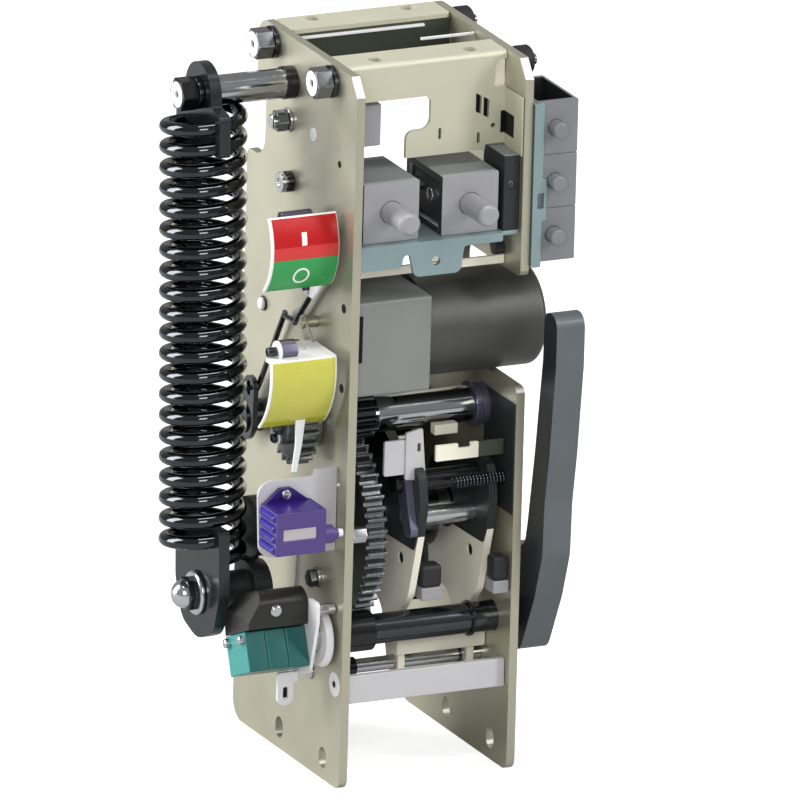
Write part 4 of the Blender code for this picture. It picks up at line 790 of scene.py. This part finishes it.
def drum():
    body = "open_closed_indicator"
    radius, x = 34.0, (-44.0, -3.0)
    hook = drum_hook()
    paint(flat("drum_sheet", "X", [band(DRUM_AXIS, radius, 1.2, 145, 225, 40)], x, "marking", body,
        "open_closed_indicator", edge=0.25), "box", (0, 1, 0), near=0.4)
    field = (x[0] + 1.6, x[1] - 0.5)
    panel_patch("drum_red", DRUM_AXIS, radius, field, (147, 187), "red", body, steps=20)
    # The lower part of the red field is painted lighter: painted light on the drum's curve.
    panel_patch("drum_red_painted_light", DRUM_AXIS, radius, field, (174.8, 187), "red_painted_light", body, 0.16)
    panel_patch("drum_green", DRUM_AXIS, radius, field, (187, 224.6), "green", body, steps=20)
    panel_patch("drum_one", DRUM_AXIS, radius, (-25.6, -22.6), (161.5, 174), "marking", body, 0.3)
    ring = turned_shape((0, 0), sleeve(3.9, 4.9, 0.3, -0.3), "Z", 40)
    middle = 205.5
    for vert in ring.verts:
        across, up, proud = vert.co
        angle = middle - math.degrees(up * 1.1 / radius)
        y, z = polar(DRUM_AXIS, radius + 0.18 + proud / 2, angle)
        vert.co = Vector((-24.4 + across, y, z))
    make("drum_zero", ring, "marking", body, edge=0)
    web = arc(DRUM_AXIS, 33.4, 150, 220, 24) + [(hook[0] - 6, hook[1] - 5), (hook[0] + 5, hook[1] - 5),
        (DRUM_AXIS[0] + 8, DRUM_AXIS[1] - 4), (DRUM_AXIS[0] + 8, DRUM_AXIS[1] + 7)]
    flat("drum_web", "X", [web, circle(hook, 2.3, 20, 4), circle(DRUM_AXIS, 3.3)], (-9, -7), "white", body)
    turned("drum_hub", DRUM_AXIS, sleeve(3.3, 6, -2, -13), "white", body)
    rod("drum_stop", (DRUM_AXIS[0], DRUM_AXIS[1] + 9.6), (-24, -5), 3.2, "lilac", body)
    turned("drum_pin", DRUM_AXIS, [(0, 5), (3, 5), (3, -14), (5, -14), (5, -16), (0, -16)], "steel",
        node="indicator_pin")


def flag():
    body = "spring_indicator"
    radius, x = 43.0, (-45.0, -5.0)
    high = polar(FLAG_AXIS, radius, 167)
    paint(flat("flag_sheet", "X", [band(FLAG_AXIS, radius, 1.2, 167, 229, 40)], x, "marking", body,
        "spring_indicator", edge=0.25), "box", (0, 1, 0), near=0.4)
    field = (x[0] + 1.4, x[1] - 1.0)
    panel_patch("flag_yellow", FLAG_AXIS, radius, field, (168.5, 220.5), "yellow", body, steps=26)
    # The lowest band of the yellow field is painted darker: painted shade where the sheet turns down.
    panel_patch("flag_yellow_painted_shade", FLAG_AXIS, radius, field, (220.5, 228.6), "olive", body, steps=8)
    top = rounded([(x[0], high[0], 0), (x[1], high[0], 0), (x[1], 37, 1), (-30, 37, 4), (x[0], 14, 5)])
    flat("flag_shelf", "Z", [top, circle((-16, 24), 1.2, 16)], (high[1] - 1.2, high[1]), "white", body)
    ear = arc(FLAG_PIVOT, 4.5, -20, 110, 16) + [(32, high[1] - 1), (44, high[1] - 1)]
    flat("flag_ear", "X", [ear, circle(FLAG_PIVOT, 3.2, 24)], (-8, -6.5), "plate", body)
    turned("flag_pin", FLAG_PIVOT, sleeve(0, 3, 5, -9), "plate", node="spring_indicator_pin")
    centre = (16.0, high[1] + 3.0)
    hex_nut("flag_bolt_head", centre, (-36, -26), 9, "lilac", body)
    turned("flag_bolt_washer", centre, sleeve(0, 5.8, -36, -37.6), "white", body)
    turned("flag_bolt_tip", centre, sleeve(0, 2.6, -37, -43), "shaft", body)
    tail = [(-24, 214), (-17.8, 214), (-19.6, 199), (-22.6, 182), (-25.6, 182), (-23.6, 199)]
    flat("flag_tail", "Y", [tail], (17, 18.5), "white", body)


# Hand charging lever

def hand_lever():
    body = "hand_lever"
    outline = rounded([(-24, 269, 7), (-9.6, 269, 7), (-9, 240, 30), (-2, 184, 60), (5, 140, 40), (8, 127, 8),
        (38, 121, 12), (46, 84, 14), (34, 63, 14), (10, 65, 12), (-7, 101, 30), (-15.6, 128, 30),
        (-16.4, 158, 60), (-20.8, 187, 60), (-26, 240, 30), (-26, 262, 8)], 12)
    lever = flat("lever_casting", "X", [outline, circle(HAND_AXIS, 8.6)], (113, 130), "lever", body,
        "hand_lever", edge=2.0, segments=4)
    # The casting's side faces get a darker copy of its finish: painted shade on the sides.
    paint(lever, "lever_side_painted_shade", (-1, 0, 0), (1, 0, 0))
    turned("lever_bar", HAND_AXIS, [(0, 131), (7.5, 131), (8.5, 130), (8.5, -7), (0, -7)], "shaft", body,
        "hand_lever_shaft")
    turned("lever_bar_clip", HAND_AXIS, sleeve(8.4, 10, 88, 86.2), "black", body)
    turned("lever_bar_sleeve", HAND_AXIS, sleeve(8.4, 11.4, 27, 6.5), "black", body)
    turned("shaft_dish", HAND_AXIS, [(8.8, -2), (17.5, -2), (17.5, -3.4), (16, -6), (8.8, -6)], "white", body,
        "shaft_disc")
    turned("lever_bar_collar", HAND_AXIS, sleeve(8.4, 9.4, -6, -12), "steel", body)


# Motor and releases

def motor():
    low = 53.3
    end = [(25 + 4 * math.sin(rad(a)), 122.5 + 4 * math.cos(rad(a))) for a in range(0, 91, 10)]
    turned("motor_can", MOTOR_AXIS, [(0, 126.5)] + end + [(29, low), (0, low)], "motor",
        node="charging_motor", sides=96, edge=0.25)
    block("gearbox_case", (5.3, 53), (8, 76), (224, 278.5), "gearbox", node="motor_gearbox", edge=1.6,
        segments=4)
    block("gearbox_slot", (8.2, 11), (7.7, 8.4), (244, 271), "hole", edge=0.2)


def shunt_release(name, x):
    y, z = (6.0, 53.0), (313.0, 347.0)
    middle = ((x[0] + x[1]) / 2, 330.0)
    shell = box_outline((x[0], x[1]), (z[0], z[1]), 0.6, 3)
    front = flat(f"{name}_coil_face", "Y", [shell, circle(middle, 6.6)], (y[0], y[0] + 4), "release",
        node=f"{name}_release_coil")
    back = flat(f"{name}_coil_back", "Y", [shell], (y[1] - 4, y[1]), "release")
    inside = (y[0] + 4, y[1] - 4)
    # The coil tops take a darker copy of the release grey: painted shade.
    top = block(f"{name}_coil_top", x, inside, (z[1] - 4, z[1]), "release_top_painted_shade")
    foot = block(f"{name}_coil_foot", x, inside, (z[0], z[0] + 4), "release")
    # Faces towards the left are painted dark: painted shade between the parts.
    for part in (front, back, top, foot):
        paint(part, "dark", (-1, 0, 0))
    ring = box_outline((x[0] + 1.5, x[1] - 1.5), (z[0] + 4, z[1] - 4), 3, 4)
    flat(f"{name}_winding", "Y", [ring, circle(middle, 7)], inside, "dark")
    for index, depth in enumerate((18, 38)):
        hex_nut(f"{name}_terminal_{index + 1}", (depth, 334), (x[0] - 2.5, x[0] + 4), 7, "steel")
    turned(f"{name}_core", middle, [(0, 14), (6.25, 14), (6.25, -18.5), (4.9, -20), (0, -20)], "release",
        f"{name}_plunger", f"{name}_plunger", "Y")


def coil_bracket():
    low, top = INSIDE[0], 312.7
    block("bracket_shelf", INSIDE, (3.2, 53), (top - 2.5, top), "zinc")
    edge, tab = top - 5, top - 20
    lip = rounded([(low, top, 0), (low, top - 14, 2), (30, top - 14, 2), (31.5, top - 7, 2), (35, top - 7, 2),
        (38, tab, 4), (66, tab, 4), (68, edge, 2), (91.4, edge, 1), (91.4, top, 0)])
    flat("bracket_lip", "Y", [lip, circle((51, top - 12), 2.6, 28)], (1, 3.5), "zinc", node="coil_bracket")
    # The dark case's top faces take the shaded release grey, lighter than the case: painted light on its top.
    paint(block("interlock_case", (92.2, 101.4), (3.6, 31), (top - 1, 356), "dark"), "release_top_painted_shade", (0, 0, 1))
    turned("interlock_mark", (96.6, 339), [(0, 3), (1.6, 3), (2.4, 3.8), (0, 3.8)], "shaft", axis="Y")
    hex_nut("plate_inner_bolt", (24.6, 297), (96.5, 101.9), 9, "dark")
    block("inner_cross_strip", (5.4, 101.6), (20, 22), (288.5, 293.5), "cheek")
    block("inner_rear_sheet", (5.4, 101.6), (84, 86), (280, 306), "dark")


def release_stack():
    strip = [(107.3, 291.4, 1), (113, 291.4, 1), (113, 318, 1), (115.5, 318, 1), (115.5, 342, 1),
        (113, 342, 1), (113, 385.8, 1), (107.3, 385.8, 1)]
    slot = box_outline((110, 114), (325, 334), 0.5, 3)
    flat("strip_face", "Y", [rounded(strip, 4), slot], (-2.3, -0.3), "zinc", node="release_strip")
    block("strip_back", (107.3, 109.3), (-1.5, 46), (291.4, 385.8), "zinc", edge=0.3)
    for index in range(3):
        low = 293.4 + index * 30.8 + 0.3
        high = low + 30.5
        middle = (121, (low + high) / 2)
        x, y = (109.6, 134.4), (0, 46)
        edge = box_outline((x[0], x[1]), (low, high), 0.6, 3)
        number = index + 1
        open_box = number == 3
        flat(f"release_{number}_case", "Y", [edge, circle(middle, 4.8)], (y[0], y[0] + 3) if open_box else y,
            "box", node=f"undervoltage_release_{number}")
        if open_box:
            # Inside the open box the back, the inner side faces and a filling block are painted dark: painted
            # shade in the recess.
            paint(flat(f"release_{number}_back", "Y", [edge], (y[1] - 3, y[1]), "box"), "dark", (0, -1, 0))
            for side, span, inward in (("left", (x[0], x[0] + 1.8), 1), ("right", (x[1] - 1.8, x[1]), -1)):
                paint(block(f"release_{number}_{side}", span, (3, 43), (low, high), "box"), "dark",
                    (inward, 0, 0))
            block(f"release_{number}_floor", (x[0] + 1.7, x[1] - 1.7), (3, 43), (low, high - 14), "dark")
        rod(f"release_{number}_button", middle, (-8, 8), 4.5, "box", f"release_button_{number}",
            f"release_button_{number}", "Y", 0.8)


# Counter, switches and the pieces at the foot

def counter():
    bracket = rounded([(-46.3, 136, 8), (-0.3, 136, 1), (-0.3, 184, 1), (-14, 184, 1), (-14, 180, 3),
        (-48.3, 180, 8)])
    flat("counter_plate", "Y", [bracket], (12.3, 14.1), "strip", node="counter_bracket")
    block("counter_flange", (-2.1, -0.3), (13, 23), (140, 180), "strip")
    low, high = 143.4, 168.3
    case = block("counter_case", (-46.5, -16.4), (-10, 12), (low, high), "purple", node="operation_counter",
        edge=0.9)
    # Top faces of the counter get a darker copy of the purple: painted shade.
    paint(case, "purple_top_painted_shade", (0, 0, 1))
    cut(case, block_shape((-42, -22), (-11, -8.8), (152, 158.5)))
    turned("counter_knob", (-5, 152), [(0, -16.6), (5.2, -16.6), (5.2, -10.5), (3, -10.5), (3, -7.5),
        (0, -7.5)], "purple")
    turned("counter_knob_tip", (-5, 152), sleeve(0, 2.2, -7.7, -4.5), "white")
    block("counter_glass", (-42.2, -21.8), (-9.2, -8.6), (151.8, 158.7), "window", edge=0.1)
    for index in range(4):
        z = low + 3.2 + index * 6.1
        turned(f"counter_rib_{index + 1}", (-45.9, z), sleeve(0, 2.4, 10.5, -8.5), "purple_rib", axis="Y",
            edge=1.2)
    ear = rounded([(-46, high - 1, 0), (-17, high - 1, 0), (-29, high + 8, 3), (-36, high + 8, 3)])
    # The ear takes the same painted shade as the top.
    flat("counter_ear", "Y", [ear, circle((-32.5, high + 4.4), 1.8, 20)], (9, 12), "purple_top_painted_shade")
    turned("counter_screw", (-32.5, high + 4.4), [(0, 9.4), (1.8, 9.4), (1.8, 9), (3, 9), (2.6, 7.6),
        (0, 7.2)], "steel", axis="Y")


SWITCH_MIDDLE = (28.9, 75.7)
SWITCH_TILT = -23.0


def tilt(shape):
    turn = Matrix.Rotation(rad(SWITCH_TILT), 3, "X")
    middle = Vector((0, *SWITCH_MIDDLE))
    for vert in shape.verts:
        vert.co = middle + turn @ (vert.co - middle)
    return shape


def auxiliary_switches():
    y, z = SWITCH_MIDDLE
    start, end = -50.2, -13.6
    for index in range(3):
        low = start + index * 12.3
        case = make(f"switch_{index + 1}_case", tilt(block_shape((low, low + 12), (y - 13.5, y + 13.5),
            (z - 11.25, z + 11.25))), "teal_front", FRAME, f"auxiliary_switch_{index + 1}", 0.7)
        # The left end faces get the lighter teal: painted light.
        paint(case, "teal", (-1, 0, 0))
    hood = rounded([(16.5, 93.6, 0.5), (46.5, 80.9, 0.5), (49, 92, 6), (40, 107, 10), (26, 113, 8),
        (17, 109, 6)], 8)
    cover = flat("switch_hood", "X", [hood], (start + 0.7, end), "cover", node="switch_cover", edge=0.6)
    slant = [(start - 5, 97), (start + 0.5, 97), (start + 13, 118), (start - 5, 118)]
    cut(cover, flat_shape("Y", [slant], (0, 60)))
    turned("hood_screw", (-33, 103), [(0, 15.2), (2.6, 15.2), (3.6, 16.2), (3.6, 19), (0, 19)], "steel",
        axis="Y", edge=0.4)
    for index, (deep, high) in enumerate(((19, 83), (38, 83))):
        make(f"switch_screw_{index + 1}", tilt(turned_shape((deep, high),
            [(0, -49), (2.6, -49), (2.6, -53), (1.2, -53.5), (0, -53.5)])), "steel", FRAME, None, 0.3)
    sheet = (end + 0.3, end + 2.3)
    outline = rounded([(6, 97, 3), (6, 108, 3), (17, 108, 3), (36, 92, 6), (52, 76, 4), (52, 62, 4),
        (44, 58, 4), (28, 60, 6), (14, 66, 6)])
    flat("switch_carrier", "X", [outline], sheet, "white", node="switch_bracket")
    lug = rounded([(-25, 43, 4.4), (-15.6, 43, 4.4), (-15.6, 62, 1), (-25, 62, 1)])
    flat("carrier_lug", "Y", [lug, circle((-20.3, 50), 1.5, 24, 4.5)], (29, 31), "white")
    block("carrier_lug_shade", (-22, -18.6), (30.2, 30.6), (47, 53), "hole", edge=0.1)
    block("carrier_lug_bend", (-16, sheet[0] + 0.5), (29, 31), (56, 62), "white")
    for index, (deep, high) in enumerate(((11.5, 102.5), (47, 67))):
        hex_nut(f"carrier_post_{index + 1}", (deep, high), (sheet[1] - 0.3, -0.3), 6, "steel")


def cross_pieces():
    block("foot_strip", INSIDE, (5, 9), (47.8, 63.8), "strip", node="lower_front_strip", edge=0.4)
    block("rear_foot_strip", (48, 101.6), (31, 33), (63.5, 75), "cheek")
    rod("low_cross_bar", CROSS_AXIS, (-1.5, 108.5), 4, "steel", node="lower_cross_rod")
    turned("low_cross_clip", CROSS_AXIS, sleeve(3.9, 5.2, 90, 88.6), "shaft")
    turned("low_cross_sleeve", CROSS_AXIS, sleeve(3.9, 5.4, 26, 6), "black")
    rod("rear_cross_bar", REAR_CROSS_AXIS, (-1.5, 108.5), 4, "steel", node="rear_cross_rod")
    block("guard_sheet", INSIDE, (136, 138.5), (107, 205), "dark", edge=0.4)
    for index, x in enumerate(((33, 39), (60, 66))):
        block(f"guard_ear_{index + 1}", x, (122, 138), (97, 110), "dark")


def cheeks():
    main_bore = circle(MAIN_AXIS, 13)
    latch_bores = [circle(CLOSE_LATCH, 6.3), circle(TRIP_LATCH, 6.3)]
    holes = [main_bore, circle(CROSS_AXIS, 4.3), circle(REAR_CROSS_AXIS, 4.3), *latch_bores,
        circle(LATCH_HOLE, 3.5, 32)]
    outline = rounded([(33.5, 50, 6), (47, 50, 6), (58, 88, 12), (116, 92, 6), (129, 92, 6), (129, 107, 6),
        (96, 128, 12), (84, 160, 10), (56, 172, 12), (34, 178, 6), (12, 176, 8), (8, 156, 8), (12, 138, 12),
        (23, 100, 12), (34, 88, 8)])
    for name, x in (("left", 50.0), ("right", 92.0)):
        cheek = flat(f"{name}_cheek_sheet", "X", [outline] + holes, (x, x + 4), "cheek",
            node=f"{name}_cheek_plate", edge=0.5)
        # The cheeks' rims above the latches are painted dark: painted shade.
        cheek.data.materials.append(finish("dark"))
        for face in cheek.data.polygons:
            if face.center.z > 131 * MM and abs(face.normal.x) < 0.5:
                face.material_index = 1
        # A dark plug fills the latch hole: painted shade seen through it.
        rod(f"{name}_cheek_hole_painted_shade", LATCH_HOLE, (x + 0.8, x + 3.2), 3.6, "hole")
        # Dark sheets over the upper cheek faces: painted shade inside the frame.
        shade = rounded([(96, 129, 2), (84, 160, 10), (56, 172, 12), (34, 178, 6), (12, 176, 8), (8, 156, 8),
            (11, 140, 8), (16, 129, 2)])
        flat(f"{name}_latch_painted_shade", "X", [shade, main_bore, *latch_bores], (x - 1, x + 0.05), "dark",
            edge=0.2)


def latches():
    """Half shafts with their flats, the bracket above them, and the buffers below."""
    for name, (y, z), start, look in (("closing", CLOSE_LATCH, 40, "black"),
            ("tripping", TRIP_LATCH, 49.4, "steel")):
        bar = rod(f"{name}_latch_bar", (y, z), (start, 99), 6, look, f"{name}_latch", f"{name}_half_shaft")
        cut(bar, block_shape((62, 82), (y, y + 7), (z - 7, z + 7)))
    strap = box_outline((31, 44), (173, 193), 1, 3)
    flat("latch_bracket_face", "Y", [strap], (18, 20), "strip")
    wing = rounded([(43.5, 170, 1), (56, 169, 1), (53.5, 199, 1), (43.5, 197, 1)], 3)
    flat("latch_bracket_wing", "Y", [wing, circle((51.5, 188), 1.1, 16, 3)], (17, 19), "strip")
    bar = rounded([(59.5, 180.4, 0.5), (85.3, 180.4, 0.5), (85.3, 189.4, 0.5), (80.5, 189.4, 0.5),
        (80.5, 186.6, 0.5), (73, 186.6, 0.5), (73, 189.4, 0.5), (59.5, 189.4, 0.5)], 3)
    flat("latch_strap", "Y", [bar], (12, 14), "cheek")
    # The strap end takes the plate colour in painted shade.
    block("latch_strap_end", (85.3, 100.8), (12, 14), (180.4, 189.4), "plate_in_painted_shade")
    block("latch_pad", (66, 80), (28, 34), (190, 196), "cheek")
    turns, chords, radius = 15, 20, 3
    coil = []
    for step in range(turns * chords + 1):
        angle = 2 * math.pi * step / chords
        along = 71 + 30 * step / (turns * chords)
        coil.append((along, 12 + radius * math.cos(angle), 167.5 + radius * math.sin(angle)))
    tube("latch_return_spring", coil, 0.75, "shaft", sides=8)
    lever = rounded([(20, 172, 5), (31, 171, 5), (26, 152, 20), (18, 137, 4), (8, 138, 4), (14, 152, 20)])
    flat("closing_latch_lever", "X", [lever], (44.5, 48.8), "lilac", "closing_latch")
    for index, (x, y, z) in enumerate((((56, 68.5), (18, 29), (98, 118)),
            ((92, 101.5), (2, 13), (103, 124)))):
        block(f"buffer_{index + 1}", x, y, (z[0] + 7, z[1]), "dark", edge=2.5)
        block(f"buffer_seat_{index + 1}", x, y, (z[0], z[0] + 7.2), "release", edge=0.6)


# Camera, light and ground

TURN, TIP, ROLL = rad(25.3), rad(17.73), rad(1.6)
PIXELS_PER_MM = 1.8127
PICTURE = 800
ORIGIN_PIXEL = (338.4, 790.7)
LENS = 1500.0
SENSOR = 36.0
FILL_LEVEL = 0.22
GLOSS_LEVEL = 0.16
FLOOR_GLOW = 0.76


def camera():
    right = Vector((math.cos(TURN), -math.sin(TURN), 0))
    up = Vector((math.sin(TIP) * math.sin(TURN), math.sin(TIP) * math.cos(TURN), math.cos(TIP)))
    back = right.cross(up)
    dx = (PICTURE / 2 - ORIGIN_PIXEL[0]) / PIXELS_PER_MM
    dy = (PICTURE / 2 - ORIGIN_PIXEL[1]) / PIXELS_PER_MM
    across = dx * math.cos(ROLL) + dy * math.sin(ROLL)
    rise = dx * math.sin(ROLL) - dy * math.cos(ROLL)
    depth = Vector((25, 60, 200)).dot(back)
    target = right * across + up * rise + back * depth
    distance = LENS / SENSOR * PICTURE / PIXELS_PER_MM
    spot = (target + OFFSET + back * distance) * MM
    lens_right = right * math.cos(ROLL) + up * math.sin(ROLL)
    lens_up = up * math.cos(ROLL) - right * math.sin(ROLL)
    data = bpy.data.cameras.new("camera")
    data.lens = LENS
    data.sensor_width = SENSOR
    data.clip_end = 200
    item = add_object("camera", data)
    turn = Matrix((lens_right, lens_up, back)).transposed()
    item.matrix_world = Matrix.Translation(spot) @ turn.to_4x4()
    bpy.context.scene.camera = item


def lamp(name, towards, distance, size, power):
    data = bpy.data.lights.new(name, "AREA")
    data.shape = "RECTANGLE"
    data.size, data.size_y = size
    data.energy = power
    item = add_object(name, data)
    aim = Vector((0, 0, 0.2))
    item.location = aim + Vector(towards).normalized() * distance
    item.rotation_euler = (item.location - aim).to_track_quat("Z", "Y").to_euler()


def studio():
    lamp("left_softbox", (-0.80, 0.45, 0.36), 2.2, (1.0, 2.0), 78)
    lamp("right_softbox", (0.62, -0.60, 0.50), 2.4, (0.5, 1.2), 30)
    lamp("front_softbox", (-0.45, -0.85, 0.35), 2.6, (0.9, 0.9), 24)
    lamp("top_softbox", (-0.05, -0.25, 1.0), 2.2, (1.6, 0.35), 24)
    world = bpy.data.worlds.new("studio")
    bpy.context.scene.world = world
    world.use_nodes = True
    nodes = world.node_tree.nodes
    links = world.node_tree.links
    back = nodes["Background"]
    back.inputs["Color"].default_value = (1, 1, 1, 1)
    path = add_node(nodes, "ShaderNodeLightPath")
    seen, gloss, both = [add_node(nodes, "ShaderNodeMath", {1: GLOSS_LEVEL}) for _ in range(3)]
    seen.operation = both.operation = "MAXIMUM"
    gloss.operation = "MULTIPLY"
    level = add_node(nodes, "ShaderNodeMapRange", {"To Min": FILL_LEVEL, "To Max": 1.0})
    for output, socket in (
            (path.outputs["Is Camera Ray"], seen.inputs[0]),
            (path.outputs["Is Transmission Ray"], seen.inputs[1]),
            (path.outputs["Is Glossy Ray"], gloss.inputs[0]),
            (seen.outputs[0], both.inputs[0]),
            (gloss.outputs[0], both.inputs[1]),
            (both.outputs[0], level.inputs["Value"]),
            (level.outputs["Result"], back.inputs["Strength"])):
        links.new(output, socket)


def ground():
    shape = bmesh.new()
    bmesh.ops.create_grid(shape, x_segments=1, y_segments=1, size=40.0)
    data = bpy.data.meshes.new("floor")
    shape.to_mesh(data)
    shape.free()
    item = add_object("floor", data)
    material, nodes, links, shader = new_material("floor", {"Base Color": (0.54, 0.54, 0.54, 1),
        "Roughness": 0.9, "Specular IOR Level": 0.1, "Emission Color": (1, 1, 1, 1)})
    path = add_node(nodes, "ShaderNodeLightPath")
    glow = add_node(nodes, "ShaderNodeMath", {1: FLOOR_GLOW})
    glow.operation = "MULTIPLY"
    links.new(path.outputs["Is Camera Ray"], glow.inputs[0])
    links.new(glow.outputs[0], shader.inputs["Emission Strength"])
    data.materials.append(material)


camera()
studio()
ground()
side_plates()
fasteners()
tie_rods()
top_panels()
closing_spring()
crank()
gear_train()
cam_and_output()
link()
drum()
flag()
hand_lever()
motor()
for release, place in (("closing", (8.5, 42.0)), ("opening", (56.0, 90.0))):
    shunt_release(release, place)
coil_bracket()
release_stack()
counter()
auxiliary_switches()
cross_pieces()
cheeks()
latches()

bpy.context.scene.view_settings.view_transform = "Standard"
bpy.context.view_layer.update()
